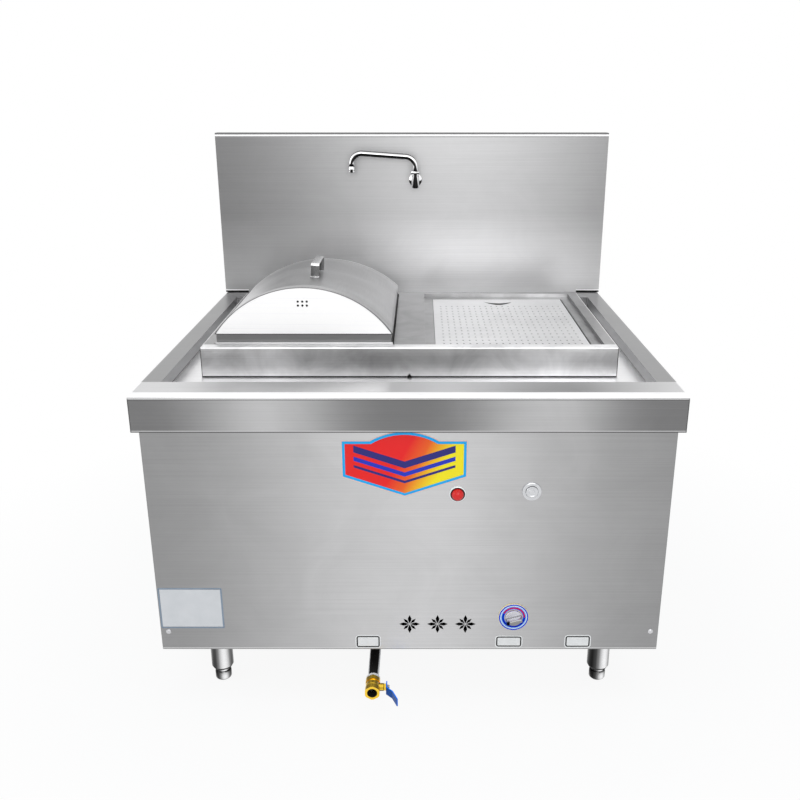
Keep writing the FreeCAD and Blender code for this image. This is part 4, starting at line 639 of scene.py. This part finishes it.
def arc(centre, radius, start, end, steps):
    """Points of a flat arc, its angles in degrees."""
    angles = [math.radians(start + (end - start) * i / steps) for i in range(steps + 1)]
    return [(centre[0] + radius * math.cos(angle), centre[1] + radius * math.sin(angle)) for angle in angles]


def sagged(left, right, sag, steps=16):
    """Points from left to right that hang below the straight line by sag at the middle."""
    return [(left[0] + (right[0] - left[0]) * i / steps,
        left[1] - 4 * sag * (i / steps) * (1 - i / steps)) for i in range(steps + 1)]


SHEET = 0.0015
HOLE_R, PITCH_X, PITCH_Y, COLUMNS, ROWS, FIRST_ROW = 0.0025, 0.0158, 0.030, 22, 14, 0.014
SLOT_WIDE, SLOT_FRONT, SLOT_BACK, SLOT_INSET = 0.080, 0.036, 0.016, 0.034
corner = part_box("perforated_plate_right")[1]
# Painted shadow: a dark line along the right plate's outer edge; greys set by the way each face turns.
plate_steel = steel("steam plate steel", (0.3, 0.5, 0.87), ALONG_X, rough=(0.4, 0.5), smear=8.0, painted_zones=[
    ((corner.x - 3 * SKIN, -WIDE, corner.z - 3 * SKIN), (corner.x + SKIN, WIDE, corner.z + SKIN), 0.01)])
for side in ("left", "right"):
    low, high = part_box(f"perforated_plate_{side}")
    middle_x, slot_y, fold_z = (low.x + high.x) / 2, high.y - SLOT_INSET, high.z - SHEET
    holes = [((middle_x + (column - (COLUMNS - 1) / 2) * PITCH_X, low.y + FIRST_ROW + row * PITCH_Y), HOLE_R)
        for column in range(COLUMNS) for row in range(ROWS)]
    left_end, right_end = (middle_x - SLOT_WIDE / 2, slot_y), (middle_x + SLOT_WIDE / 2, slot_y)
    slot_line = sagged(left_end, right_end, SLOT_FRONT) + sagged(right_end, left_end, SLOT_BACK)[1:-1]
    edge = [(low.x, low.y), (high.x, low.y), (high.x, high.y), (low.x, high.y)]
    bm = flat_shape([edge, slot_line] + holes, SHEET)
    bmesh.ops.translate(bm, vec=(0, 0, high.z - SHEET / 2), verts=bm.verts)
    for x0, x1, y0, y1 in ((low.x, high.x, low.y, low.y + SHEET), (low.x, high.x, high.y - SHEET, high.y),
            (low.x, low.x + SHEET, low.y + SHEET, high.y - SHEET),
            (high.x - SHEET, high.x, low.y + SHEET, high.y - SHEET)):
        block(bm, (x0, y0, low.z), (x1, y1, fold_z))
    plate = piece(bm, f"steam_plate_{side}", plate_steel, f"plate_{side}")
    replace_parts(plate, f"perforated_plate_{side}")


# ---- Arched lid -------------------------------------------------------------
# A rolled sheet that tapers to the back, welded on a square hemmed skirt,
# with a flat plate at each end and a bent strap for a grip.

shell_low, shell_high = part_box("lid_shell")
skirt_low, skirt_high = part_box("lid_skirt")
LID_SHEEN = (-0.45, 0.9, 0.72, 1.0)
HEM_SHARE = 0.58                 # how much of the skirt's height the hem takes
TAPER = 0.030                    # how much lower the arch is at the back
# Painted light and shade on the arch: a painted highlight along its back edge, a painted shade line along its
# front edge, painted reflection waves across it, and greys set by the way each face turns.
lid_shading = [((-WIDE, shell_high.y - 0.005, 0), (WIDE, shell_high.y + SKIN, WIDE), 1.0),
    ((-WIDE, shell_low.y - SKIN, 0), (WIDE, shell_low.y + 0.0035, WIDE), 0.26)]
lid_steel = steel("lid steel", (0.86, 0.52, 0.6), ALONG_Y, [LID_SHEEN], [LID_SHEEN], rough=(0.34, 0.46),
    smear=5.0, cloudy=0.16, painted_zones=lid_shading)
# Painted highlight: the end plates are set almost white, standing for a blown-out reflection.
glare_plate_steel = steel("lid plate steel", (0.9, 1.0, 0.9), ALONG_X, rough=(0.3, 0.4), cloudy=0.0)
hem = skirt_low.z + HEM_SHARE * (skirt_high.z - skirt_low.z)
# Painted light and shade on the skirt: its front painted dark above the hem and light over it, a painted shade
# line along its top, and a painted shadow on the lower part of its right side, by the divider.
dress(steel("lid skirt steel", (0.3, 0.19, 0.5), ALONG_X, painted_zones=[
    stripe(skirt_low.y, skirt_low.z - SKIN, hem, 0.6),
    stripe(skirt_low.y, skirt_high.z - LINE, skirt_high.z + SKIN, 0.03),
    ((skirt_high.x - 0.0034, skirt_low.y + 2 * SKIN, skirt_low.z),
    (skirt_high.x + SKIN, WIDE, hem + SKIN), 0.02)]), "lid_skirt")
lid_mid, lid_half = (shell_low.x + shell_high.x) / 2, (shell_high.x - shell_low.x) / 2
front_rise = shell_high.z - shell_low.z
back_rise = front_rise - TAPER


def arch_radius(half, rise):
    """Radius of the circle whose segment is this wide and tall."""
    return (half ** 2 + rise ** 2) / (2 * rise)


def arch(middle_x, half, rise, foot, steps=48):
    """Points of a circle's segment that stands on a line, left to right."""
    radius = arch_radius(half, rise)
    reach = math.degrees(math.asin(half / radius))
    return arc((middle_x, foot + rise - radius), radius, 90 + reach, 90 - reach, steps)


bm = bmesh.new()
chains = []
for y, rise in ((shell_low.y, front_rise), (shell_high.y, back_rise)):
    corners = [bm.verts.new((x, y, z)) for x, z in arch(lid_mid, lid_half, rise, shell_low.z)]
    chains += [bm.edges.new(pair) for pair in zip(corners, corners[1:])]
bmesh.ops.bridge_loops(bm, edges=chains)
long_edges = [edge for edge in bm.edges if abs(edge.verts[0].co.y - edge.verts[1].co.y) > 0.1]
bmesh.ops.subdivide_edges(bm, edges=long_edges, cuts=11, use_grid_fill=True)
shell = piece(bm, "lid_arch", lid_steel, "lid", crease=60)
if shell.data.polygons[len(shell.data.polygons) // 2].normal.z < 0:
    shell.data.flip_normals()
walled(shell, "sheet", SHEET)
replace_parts(shell, "lid_shell")

VENT_R, VENT_X, VENT_Z, VENT_UP = 0.0027, 0.0104, 0.0093, 0.0675
vents = [((lid_mid + column * VENT_X, shell_low.z + VENT_UP + row * VENT_Z), VENT_R)
    for column in (-1, 0, 1) for row in (0, 1)]
quarter = Matrix.Rotation(math.radians(90), 3, "X")
for end, rise, openings in (("front", front_rise, vents), ("back", back_rise, [])):
    low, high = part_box(f"lid_{end}_plate")
    bm = flat_shape([arch(lid_mid, (high.x - low.x) / 2, rise - SHEET, shell_low.z)] + openings, SHEET)
    bmesh.ops.rotate(bm, cent=(0, 0, 0), matrix=quarter, verts=bm.verts)
    bmesh.ops.translate(bm, vec=(0, (low.y + high.y) / 2, 0), verts=bm.verts)
    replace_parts(piece(bm, f"lid_{end}_end", glare_plate_steel, "lid"), f"lid_{end}_plate")

GRIP_THICK, GRIP_FOOT, FOLD = 0.003, 0.014, 0.0035
GRIP_WIDE, GRIP_TALL, GRIP_ASIDE = 0.021, 0.035, 0.012      # the strap is welded a little beside the crown
low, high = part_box("lid_grip")


def on_crown(y):
    """Height of the lid's crown at a place along it."""
    return shell_high.z - TAPER * (y - shell_low.y) / (shell_high.y - shell_low.y)


def rounded(bm, geom, offset, segments, affect="EDGES"):
    """Rounds edges or corners, and gives the new corners."""
    return bmesh.ops.bevel(bm, geom=geom, offset=offset, affect=affect, segments=segments, profile=0.5,
        material=-1)["verts"]


near_y, far_y = low.y + GRIP_FOOT, high.y - GRIP_FOOT
strap_top = on_crown(near_y) + GRIP_TALL - GRIP_THICK
line = [(low.y, on_crown(low.y)), (near_y, on_crown(near_y)), (near_y, strap_top),
    (far_y, strap_top), (far_y, on_crown(far_y)), (high.y, on_crown(high.y))]
bm = bmesh.new()
corners = [bm.verts.new((lid_mid - GRIP_WIDE / 2, y, z)) for y, z in line]
tube_run(bm, [bm.edges.new(pair) for pair in zip(corners, corners[1:])], (GRIP_WIDE, 0, 0))
rounded(bm, [edge for edge in bm.edges if len(edge.link_faces) == 2], FOLD, 5)
rise = on_crown((low.y + high.y) / 2) - shell_low.z
radius = arch_radius(lid_half, rise)
bmesh.ops.rotate(bm, cent=(lid_mid, 0, shell_low.z + rise - radius),
    matrix=Matrix.Rotation(GRIP_ASIDE / radius, 3, "Y"), verts=bm.verts)
# Painted light: the strap's top painted light and its legs dark by the way each face turns, with a painted
# highlight on its folds.
grip_steel = steel("grip steel", (0.2, 0.13, 0.72), ALONG_Y, rough=(0.2, 0.32), cloudy=0.02, bend_highlight=1.0)
grip = piece(bm, "lid_strap", grip_steel, "lid", crease=50)
walled(grip, "strap", GRIP_THICK, 1 if sum(face.normal.z for face in grip.data.polygons) > 0 else -1)
soften = grip.modifiers.new("edge", "BEVEL")
soften.width, soften.segments, soften.limit_method = 0.0006, 2, "ANGLE"
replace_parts(grip, "lid_grip")


# ---- Swing tap --------------------------------------------------------------
# Chrome-plated brass: a wall flange, an upright body with a hexagon nut,
# and a tube spout that swings round it, with a grooved nozzle at its tip.

# Painted reflection: the chrome takes a bright painted stripe between dark ones, by the way each face turns.
CHROME_SHEEN = ((0.0, 0.1), (0.5, 0.12), (0.55, 0.97), (0.79, 0.97), (0.84, 0.02), (1.0, 0.015))
chrome = polished("bright chrome", (0.0, -0.7, -0.7), CHROME_SHEEN, rough=(0.04, 0.12))
BODY_R, SHANK_R, GROOVE = 0.0115, 0.009, 0.0012
tap_at = middle("tap_nut") * Vector((1, 1, 0))
nut_low, nut_high = (corner.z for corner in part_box("tap_nut"))
low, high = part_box("tap_body")
foot, head, shank = low.z, high.z, high.y - tap_at.y
shank_at = tap_at + Z_AXIS * (foot + head) / 2
bm = bmesh.new()
turned(bm, [(0, foot), (0.006, foot + 0.0006), (0.0095, foot + 0.003), (BODY_R, foot + 0.007),
    (BODY_R, head - 0.008), (BODY_R - GROOVE, head - 0.007), (BODY_R - GROOVE, head - 0.004),
    (BODY_R, head - 0.003), (BODY_R, head - 0.0002), (0, head - 0.0002)], tap_at)
turned(bm, [(0, 0), (SHANK_R, 0), (SHANK_R, shank - 0.001), (SHANK_R - 0.001, shank), (0, shank)],
    shank_at, Y_AXIS)
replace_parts(piece(bm, "tap_upright", chrome, "cabinet"), "tap_body")
low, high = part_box("tap_flange")
flange_r, deep = (high.x - low.x) / 2, high.y - low.y
bm = bmesh.new()
turned(bm, [(SHANK_R, 0), (SHANK_R + 0.003, 0.0), (flange_r - 0.004, 0.0035), (flange_r, 0.0052),
    (flange_r, deep), (SHANK_R, deep)], Vector((tap_at.x, low.y, shank_at.z)), Y_AXIS, closed=True)
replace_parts(piece(bm, "tap_rose", chrome, "cabinet"), "tap_flange")


def hex_nut(bm, across, thick, start, axis):
    """A hexagon nut with its corners taken off, standing on start."""
    made = bmesh.ops.create_cone(bm, cap_ends=True, segments=6, radius1=across / math.sqrt(3),
        radius2=across / math.sqrt(3), depth=thick)["verts"]
    rims = [edge for edge in links(made) if abs(edge.verts[0].co.z - edge.verts[1].co.z) < thick / 2]
    shaped = rounded(bm, rims, across * 0.04, 2)
    corners = list({corner for corner in list(shaped) + made if corner.is_valid})
    matrix = Matrix.Translation(start + axis * thick / 2) @ upright_to(axis)
    bmesh.ops.transform(bm, matrix=matrix, verts=corners)


bm = bmesh.new()
hex_nut(bm, 0.024, nut_high - nut_low - 2 * PLAY, tap_at + Z_AXIS * (nut_low + PLAY), Z_AXIS)
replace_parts(piece(bm, "tap_crown_nut", chrome, "cabinet", crease=25), "tap_nut")
dress(chrome, "tap_back_nut")

SPOUT_R, SPOUT_WALL, SPOUT_RISE, SPOUT_SLOPE, SPOUT_BEND = 0.008, 0.0012, 0.0405, 4.1, 0.030
NOZZLE_BORE, NECK = 0.007, 0.0008
tip_low, tip_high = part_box("spout_nozzle")
tip_x, tall, tip_r = (tip_low.x + tip_high.x) / 2, tip_high.z - tip_low.z, (tip_high.x - tip_low.x) / 2
line_z = nut_high + SPOUT_RISE
spout = bent_pipe("spout_bow", [
    (tap_at.x, tap_at.y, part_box("spout_tube")[0].z), (tap_at.x, tap_at.y, line_z),
    (tip_x, tap_at.y, line_z + (tap_at.x - tip_x) * math.tan(math.radians(SPOUT_SLOPE))),
    (tip_x, tap_at.y, tip_high.z + 0.0005)],
    SPOUT_BEND, SPOUT_R, SPOUT_WALL, chrome, "spout", "tap_chrome", steps=16)
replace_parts(spout, "spout_tube")
bm = bmesh.new()
turned(bm, [(NOZZLE_BORE, 0), (tip_r - 0.001, 0), (tip_r, 0.001), (tip_r, tall * 0.3),
    (tip_r - NECK, tall * 0.34), (tip_r - NECK, tall * 0.42), (tip_r, tall * 0.46),
    (tip_r, tall - 0.003), (tip_r - 0.0015, tall), (SPOUT_R, tall), (NOZZLE_BORE, tall)],
    Vector((tip_x, tap_at.y, tip_low.z)), closed=True)
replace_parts(piece(bm, "spout_tip", chrome, "spout"), "spout_nozzle")


# ---- Drain valve ------------------------------------------------------------
# A brass ball valve screwed to the drain pipe over white thread tape, with a
# blue dipped lever on the side of its stem.

def drawn_out(bm, faces, along):
    """Draws flat faces out into a solid."""
    drawn = bmesh.ops.extrude_face_region(bm, geom=faces)["geom"]
    bmesh.ops.translate(bm, vec=along, verts=[item for item in drawn if isinstance(item, bmesh.types.BMVert)])


def off_axis(place, centre):
    """How far a place is from an axis that runs front to back."""
    return ((place - centre) * Vector((1, 0, 1))).length


# Painted reflection: bright and dark painted stripes on the brass, by the way each face turns.
BRASS_SHEEN = ((0.0, 0.12), (0.5, 0.22), (0.56, 0.5), (0.61, 1.0), (0.7, 0.85), (0.8, 0.28), (0.9, 0.35),
    (0.97, 1.0))
brass = polished("valve brass", (0.0, -0.25, 0.97), BRASS_SHEEN, rough=(0.16, 0.3), tint=(1.0, 0.66, 0.07))
HEX_AF, HEX_LONG, WAIST_R, BORE_R, BOSS_R, STEM_HOLE = 0.034, 0.013, 0.0155, 0.012, 0.009, 0.005
low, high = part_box("drain_valve_body")
valve_at, long, boss = Vector((drain_x, low.y, drain_z)), high.y - low.y, high.x - drain_x
bm = bmesh.new()
for start in (0.0, long - HEX_LONG):
    hexagon = bmesh.ops.create_circle(bm, segments=6, radius=HEX_AF / math.sqrt(3))["verts"]
    bore = bmesh.ops.create_circle(bm, segments=36, radius=BORE_R)["verts"]
    bmesh.ops.rotate(bm, cent=(0, 0, 0), matrix=quarter, verts=hexagon + bore)
    bmesh.ops.translate(bm, vec=valve_at + Y_AXIS * start, verts=hexagon + bore)
    mouth = bmesh.ops.triangle_fill(bm, use_beauty=True, edges=links(hexagon) + links(bore))["geom"]
    drawn_out(bm, [item for item in mouth if isinstance(item, bmesh.types.BMFace)], (0, HEX_LONG, 0))
long_corners = [edge for edge in bm.edges if abs(edge.verts[0].co.y - edge.verts[1].co.y) > HEX_LONG / 2
    and off_axis(edge.verts[0].co, valve_at) > HEX_AF / 2 + 0.001]
rounded(bm, long_corners, 0.005, 3)
turned(bm, [(BORE_R, HEX_LONG), (WAIST_R, HEX_LONG), (WAIST_R, HEX_LONG + 0.004),
    (WAIST_R + 0.001, HEX_LONG + 0.005), (WAIST_R + 0.001, long - HEX_LONG - 0.004),
    (WAIST_R - 0.001, long - HEX_LONG - 0.002),
    (WAIST_R - 0.001, long - HEX_LONG), (BORE_R, long - HEX_LONG)], valve_at, Y_AXIS, closed=True)
stem_y = middle("drain_valve_gland").y
turned(bm, [(STEM_HOLE, BORE_R), (BOSS_R, BORE_R), (BOSS_R, boss - 0.001), (BOSS_R - 0.001, boss),
    (STEM_HOLE, boss)], Vector((drain_x, stem_y, drain_z)), X_AXIS, closed=True)
casting = piece(bm, "valve_casting", brass, "cabinet", crease=25)
bore_shade = finish("bore shade", (0.004, 0.003, 0.002), (0.01, 0.008, 0.004), 60.0, 0.0, (0.6, 0.8))
casting.data.materials.append(bore_shade)
for face in casting.data.polygons:
    if off_axis(face.center, valve_at) < BORE_R + 0.0004 and abs(face.normal.y) < 0.5:
        face.material_index = 1
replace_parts(casting, "drain_valve_body")
dress(finish("ball chrome", (0.3, 0.3, 0.31), (0.5, 0.5, 0.51), 60.0, 1.0, (0.1, 0.2), 0.02),
    "drain_valve_ball")
for node_name, across, name, metal, body in (
        ("drain_valve_gland", 0.015, "packing_nut", brass, "cabinet"),
        ("drain_lever_nut", 0.010, "lever_nut", pipe_steel, "drain_lever")):
    low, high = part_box(node_name)
    bm = bmesh.new()
    hex_nut(bm, across, high.x - low.x, Vector((low.x, stem_y, drain_z)), X_AXIS)
    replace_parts(piece(bm, name, metal, body, crease=25), node_name)
tape = finish("thread tape", (0.8, 0.8, 0.8), (0.92, 0.92, 0.92), 200.0, 0.0, (0.5, 0.7), 0.5)
bm = bmesh.new()
turned(bm, [(DRAIN_R + up, along) for up, along in (
    (0.0002, 0.0002), (0.003, 0.0004), (0.0036, 0.003), (0.003, 0.006), (0.0034, 0.008), (0.0002, 0.011))],
    valve_at + Y_AXIS * long, Y_AXIS, closed=True)
piece(bm, "thread_tape", tape, "cabinet")
# Painted highlight: the blue lever is painted brighter where its faces turn up and to the right.
dress(polished("blue vinyl", (0.6, 0.0, 0.8), ((0.3, 0.35), (0.55, 0.55), (0.66, 0.95), (0.9, 1.2)),
    rough=(0.3, 0.45), tint=(0.0, 0.2, 0.95), metallic=0.0), "drain_valve_lever")


# ---- Push buttons -----------------------------------------------------------
# A red domed push cap in a dark well with a pale bezel, and a metal power
# button whose cap lies in a chrome ring; both pass through the front panel.

def front_of(name):
    """The radius, the middle of the front and the depth of a round solid that faces forward."""
    low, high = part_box(name)
    return (high.x - low.x) / 2, Vector(((low.x + high.x) / 2, low.y, (low.z + high.z) / 2)), high.y - low.y


red_gloss = finish("red gloss", (0.62, 0.0, 0.0), (0.8, 0.004, 0.002), 40.0, 0.0, (0.25, 0.35), 0.02, 0.1)
bezel_pale = finish("bezel nickel", (0.8, 0.84, 0.83), (0.95, 0.97, 0.96), 40.0, 0.3, (0.25, 0.35), 0.02)
well_black = finish("button well", (0.004, 0.006, 0.008), (0.012, 0.016, 0.018), 40.0, 0.0, (0.3, 0.4), 0.02)
ring_chrome = finish("satin chrome", (0.55, 0.56, 0.58), (0.74, 0.75, 0.77), 80.0, 1.0, (0.12, 0.25), 0.02)
BEZEL_DEEP, WELL_DEEP, SLEEVE_R, GUIDE_R, CAP_STEM = 0.004, 0.003, 0.011, 0.0045, 0.004
CAP_BACK = 0.0005                # depth of the cap's back edge, which leaves it room for its travel
cap_r = front_of("red_button_cap")[0]
dome = [(0, 0), (0.005, 0.0005), (0.0088, 0.0022), (0.0115, 0.005), (cap_r - 0.0005, 0.009), (cap_r, 0.0125)]
cap_r = front_of("power_button_cap")[0]
dish = [(0, 0.0011), (0.0055, 0.001), (0.0062, 0.0004), (0.0068, 0.001), (cap_r - 0.004, 0.0008),
    (cap_r - 0.003, 0.0), (cap_r - 0.0006, 0.0), (cap_r, 0.0006)]
for body, outline, bezel_finish, cap_finish, bezel_slot, cap_slot in (
        ("red_button", dome, bezel_pale, red_gloss, "button_black", "button_red"),
        ("power_button", dish, ring_chrome, ring_chrome, "button_metal", "button_metal")):
    outer, at, deep = front_of(f"{body}_bezel")
    cap_r, cap_at, cap_deep = front_of(f"{body}_cap")
    well = cap_r + 0.0005
    bm = bmesh.new()
    turned(bm, [(GUIDE_R, WELL_DEEP), (well, WELL_DEEP), (well, 0.0006), (well + 0.0006, 0),
        (outer - 0.0025, 0), (outer - 0.0008, 0.0008), (outer, 0.0025), (outer, BEZEL_DEEP),
        (SLEEVE_R, BEZEL_DEEP), (SLEEVE_R, deep), (GUIDE_R, deep)], at, Y_AXIS, steps=64, closed=True)
    surround = piece(bm, f"{body}_surround", bezel_finish, "cabinet")
    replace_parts(surround, f"{body}_bezel")
    if body == "red_button":
        surround.data.materials.append(well_black)
        for face in surround.data.polygons:
            face.material_index = int(off_axis(face.center, at) < outer - 0.0028)
    back = at.y + CAP_BACK - cap_at.y
    bm = bmesh.new()
    turned(bm, outline + [(cap_r, back), (CAP_STEM, back), (CAP_STEM, cap_deep), (0, cap_deep)],
        Vector((at.x, cap_at.y, at.z)), Y_AXIS, steps=64)
    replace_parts(piece(bm, f"{body}_push", cap_finish, body), f"{body}_cap")


# ---- Gas knob and its dial --------------------------------------------------
# A satin knob with a raised grip bar on a printed blue dial ring.

dial_r, dial_at, dial_deep = front_of("knob_ring")
RINGS = ((0.0, (0.85, 0.72, 0.5)), (0.605, (0.0, 0.16, 0.9)), (0.66, (0.0, 0.01, 0.5)),
    (0.765, (0.1, 0.35, 0.95)), (0.81, (0.7, 0.86, 1.0)), (0.88, (0.0, 0.06, 0.7)),
    (0.965, (0.9, 0.78, 0.5)))
TRACK, TRACK_HALF = 0.71, 0.045              # the red track's place and half width, in shares of the radius
TRACK_TURN, TRACK_REACH = 0.22, 1.35         # its middle, clockwise from the top, and half length, in radians
DIAL_BORE = 0.0052
dial, tree, shader = fresh_material("printed dial", {"Roughness": 0.4, "Specular IOR Level": 0.1})
centred = vectors(tree, "SUBTRACT", own_place(tree), (dial_at.x, 0, dial_at.z))
flat = vectors(tree, "MULTIPLY", centred, (1, 0, 1))
share = maths(tree, "DIVIDE", vectors(tree, "LENGTH", flat), dial_r)
ramp = ramped(tree, share, RINGS)
ramp.color_ramp.interpolation = "CONSTANT"
parts = split(tree, centred)
turn = maths(tree, "ARCTAN2", parts["X"], parts["Z"])
track = maths(tree, "MULTIPLY", maths(tree, "COMPARE", turn, TRACK_TURN, TRACK_REACH),
    maths(tree, "COMPARE", share, TRACK, TRACK_HALF))
feed(tree, shader.inputs,
    {"Base Color": mixed(tree, track, ramp.outputs["Color"], (0.72, 0.005, 0.005, 1), "RGBA")})
bm = bmesh.new()
turned(bm, [(DIAL_BORE, 0.0), (dial_r - 0.0008, 0.0), (dial_r, 0.0008), (dial_r, dial_deep),
    (DIAL_BORE, dial_deep)], dial_at, Y_AXIS, steps=64, closed=True)
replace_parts(piece(bm, "dial_disc", dial, "cabinet"), "knob_ring")

knob_r, knob_at, knob_deep = front_of("gas_knob")
# Painted reflection: the knob's satin greys swing with the way each face turns.
KNOB_SHEEN = ((0.0, 0.2), (0.45, 0.29), (0.6, 0.33), (0.8, 0.46), (1.0, 0.5))
knob_steel = polished("knob satin", (0.0, 0.0, 1.0), KNOB_SHEEN, rough=(0.3, 0.4))
BAR_TURN = math.radians(75)
MARK = Vector((0.0045, 0.003, 0.0048))       # half sizes of the black mark at the bar's end
FACE, BACK = 0.016, 0.022        # how far its face and its back lie behind the bar's front
BAR, SHAFT_R = 0.009, 0.004
tree = knob_steel.node_tree
shader = tree.nodes["Principled BSDF"]
sheen_and_blotch = shader.inputs["Base Color"].links[0].from_socket
along = Vector((-math.sin(BAR_TURN), 0, -math.cos(BAR_TURN)))       # from the middle to the bar's marked end
centred = vectors(tree, "SUBTRACT", own_place(tree), knob_at)
# Painted light: the knob's face on the upper side of its bar is painted a lighter grey.
above = vectors(tree, "DOT_PRODUCT", centred, (along.z, 0, -along.x))
lit = mixed(tree, blend(tree, above, 0.0, 1.0, 0.0042, 0.005), sheen_and_blotch, (0.62, 0.62, 0.66, 1), "RGBA")
mark_at = knob_at + along * (knob_r - MARK.x + 0.0005) + Z_AXIS * 0.0012
marked = placed(tree, zone, Centre=mark_at, Half=MARK)["Mask"]
feed(tree, shader.inputs, {"Base Color": mixed(tree, marked, lit, (0.004, 0.004, 0.006, 1), "RGBA")})
bm = bmesh.new()
turned(bm, [(0, FACE), (knob_r - 0.0015, FACE), (knob_r, FACE + 0.0015), (knob_r, BACK),
    (SHAFT_R, BACK), (SHAFT_R, knob_deep), (0, knob_deep)], knob_at, Y_AXIS, steps=64)
made = bmesh.ops.create_cube(bm, size=1)["verts"]
bmesh.ops.scale(bm, vec=(BAR, FACE + 0.0005, 2 * knob_r - 0.003), verts=made)
shaped = rounded(bm, links(made), 0.002, 3)
bar = list({corner for corner in list(shaped) + made if corner.is_valid})
bmesh.ops.rotate(bm, cent=(0, 0, 0), matrix=Matrix.Rotation(BAR_TURN, 3, "Y"), verts=bar)
bmesh.ops.translate(bm, vec=knob_at + Y_AXIS * FACE / 2, verts=bar)
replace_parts(piece(bm, "knob_turned", knob_steel, "knob"), "gas_knob")


# ---- Screws, labels and the painted emblem ---------------------------------
# Pan-head screws at the panel's foot, label plates with a black border, a
# pale notice plate and a bright shield with chevrons above the controls.

dress(finish("screw steel", (0.5, 0.5, 0.52), (0.7, 0.7, 0.72), 80.0, 1.0, (0.15, 0.3), 0.02), "panel_screws")
label_white = finish("label white", (0.82, 0.82, 0.81), (0.9, 0.9, 0.89), 60.0, 0.0, (0.3, 0.4), 0.02)
label_black = finish("label black", (0.002, 0.002, 0.002), (0.006, 0.006, 0.006), 60.0, 0.0, (0.6, 0.7), 0.02)
notice_face = finish("notice pale", (0.62, 0.64, 0.66), (0.74, 0.75, 0.77), 30.0, 0.3, (0.35, 0.5), 0.02)
notice_rim = finish("notice border", (0.2, 0.26, 0.34), (0.28, 0.34, 0.42), 30.0, 0.1, (0.35, 0.5), 0.02)
CARD_THICK = 0.0006


def card(name, x, drop, wide, tall, corner, face_finish, border_finish, border, margin=0.0):
    """A thin printed plate on the front panel, with a border line set in by a margin."""
    bm = bmesh.new()
    bmesh.ops.create_grid(bm, x_segments=1, y_segments=1, size=0.5)
    bmesh.ops.scale(bm, vec=(wide, tall, 1), verts=bm.verts)
    rounded(bm, list(bm.verts), corner, 5, affect="VERTICES")
    bmesh.ops.rotate(bm, cent=(0, 0, 0), matrix=quarter, verts=bm.verts)
    bmesh.ops.translate(bm, vec=(x, panel_low.y, RIM_TOP - drop), verts=bm.verts)
    drawn_out(bm, list(bm.faces), (0, -CARD_THICK, 0))
    front = [face for face in bm.faces if face.calc_center_median().y < panel_low.y - CARD_THICK * 0.9]
    if margin:
        bmesh.ops.inset_region(bm, faces=front, thickness=margin)
    for face in bmesh.ops.inset_region(bm, faces=front, thickness=border)["faces"]:
        face.material_index = 1
    piece(bm, name, face_finish, "cabinet").data.materials.append(border_finish)


for name, x, drop, wide, tall in (("drain_label", -0.098, 0.625, 0.060, 0.036),
        ("water_label", 0.235, 0.625, 0.065, 0.033),
        ("gas_label", 0.398, 0.6245, 0.063, 0.035)):
    card(name, x, drop, wide, tall, 0.008, label_white, label_black, 0.0032, 0.0026)
card("notice_plate", -0.5095, 0.534, 0.149, 0.108, 0.003, notice_face, notice_rim, 0.004)

FILM = 0.0003                    # thickness of one layer of the emblem


def emblem_layer(name, points, level, ink):
    """One flat colour of the emblem, as a thin film on the panel."""
    bm = bmesh.new()
    face = bm.faces.new([bm.verts.new((x, panel_low.y - level * FILM, RIM_TOP - drop)) for x, drop in points])
    drawn_out(bm, [face], (0, -FILM, 0))
    piece(bm, name, ink, "cabinet")


SHIELD_X, SHOULDER, CROWN = -0.0092, 0.1145, 0.093
LEFT, RIGHT, CROWN_HALF = -0.146, 0.127, 0.07595
FLANK, POINT = 0.198, 0.2445


def shield(inset):
    """Outline of the shield, as (x, drop below the rim), drawn in by inset."""
    curve = arch(SHIELD_X, CROWN_HALF - inset * 0.5, SHOULDER - CROWN, 0.0, 14)
    left, right, shoulder, flank = LEFT + inset, RIGHT - inset, SHOULDER + inset, FLANK - inset * 0.8
    return [(left, shoulder)] + [(x, shoulder - up) for x, up in curve] + [
        (right, shoulder), (right, flank), (SHIELD_X, POINT - inset * 1.05), (left, flank)]


INKS = (("edge", (0.85, 0.55, 0.45), (0.92, 0.66, 0.56)), ("cyan", (0.0, 0.34, 0.86), (0.0, 0.5, 0.95)),
    ("navy", (0.006, 0.004, 0.15), (0.012, 0.008, 0.22)), ("blue", (0.0, 0.015, 0.45), (0.0, 0.03, 0.6)),
    ("sunset", (0.8, 0.1, 0.02), (0.9, 0.5, 0.05)))
pink, cyan, navy, blue, sunset = [finish(f"emblem {name}", dark, light, 30.0, 0.0, (0.3, 0.4), 0.02)
    for name, dark, light in INKS]
LEAN, BLEND_SHIFT = -0.55, 0.34              # the blend leans, and where it starts across the field
tree = sunset.node_tree
parts = split(tree, own_place(tree))
slanted = maths(tree, "MULTIPLY_ADD", parts["Z"], LEAN, parts["X"])
across = blend(tree, slanted, 0.0, 1.0, LEFT - BLEND_SHIFT, RIGHT - BLEND_SHIFT)
ramp = ramped(tree, across, ((0.42, (0.9, 0.0, 0.0)), (0.58, (0.92, 0.12, 0.0)), (0.8, (1.0, 0.85, 0.0))))
feed(tree, tree.nodes["Principled BSDF"].inputs, {"Base Color": ramp.outputs["Color"]})
emblem_layer("emblem_outline", shield(-0.002), 0, pink)
emblem_layer("emblem_border", shield(0.0), 1, cyan)
emblem_layer("emblem_field", shield(0.006), 2, sunset)
CHEVRON_HALF, CHEVRON_FALL = 0.112, 0.038        # half width, and how far each chevron's middle hangs down
for number, drop, tall, ink in ((1, 0.124, 0.016, navy), (2, 0.15, 0.01, blue), (3, 0.17, 0.006, navy)):
    upper = [(SHIELD_X + side * CHEVRON_HALF, drop + CHEVRON_FALL * (side == 0)) for side in (-1, 0, 1)]
    emblem_layer(f"emblem_chevron_{number}", upper + [(x, y + tall) for x, y in reversed(upper)], 3, ink)
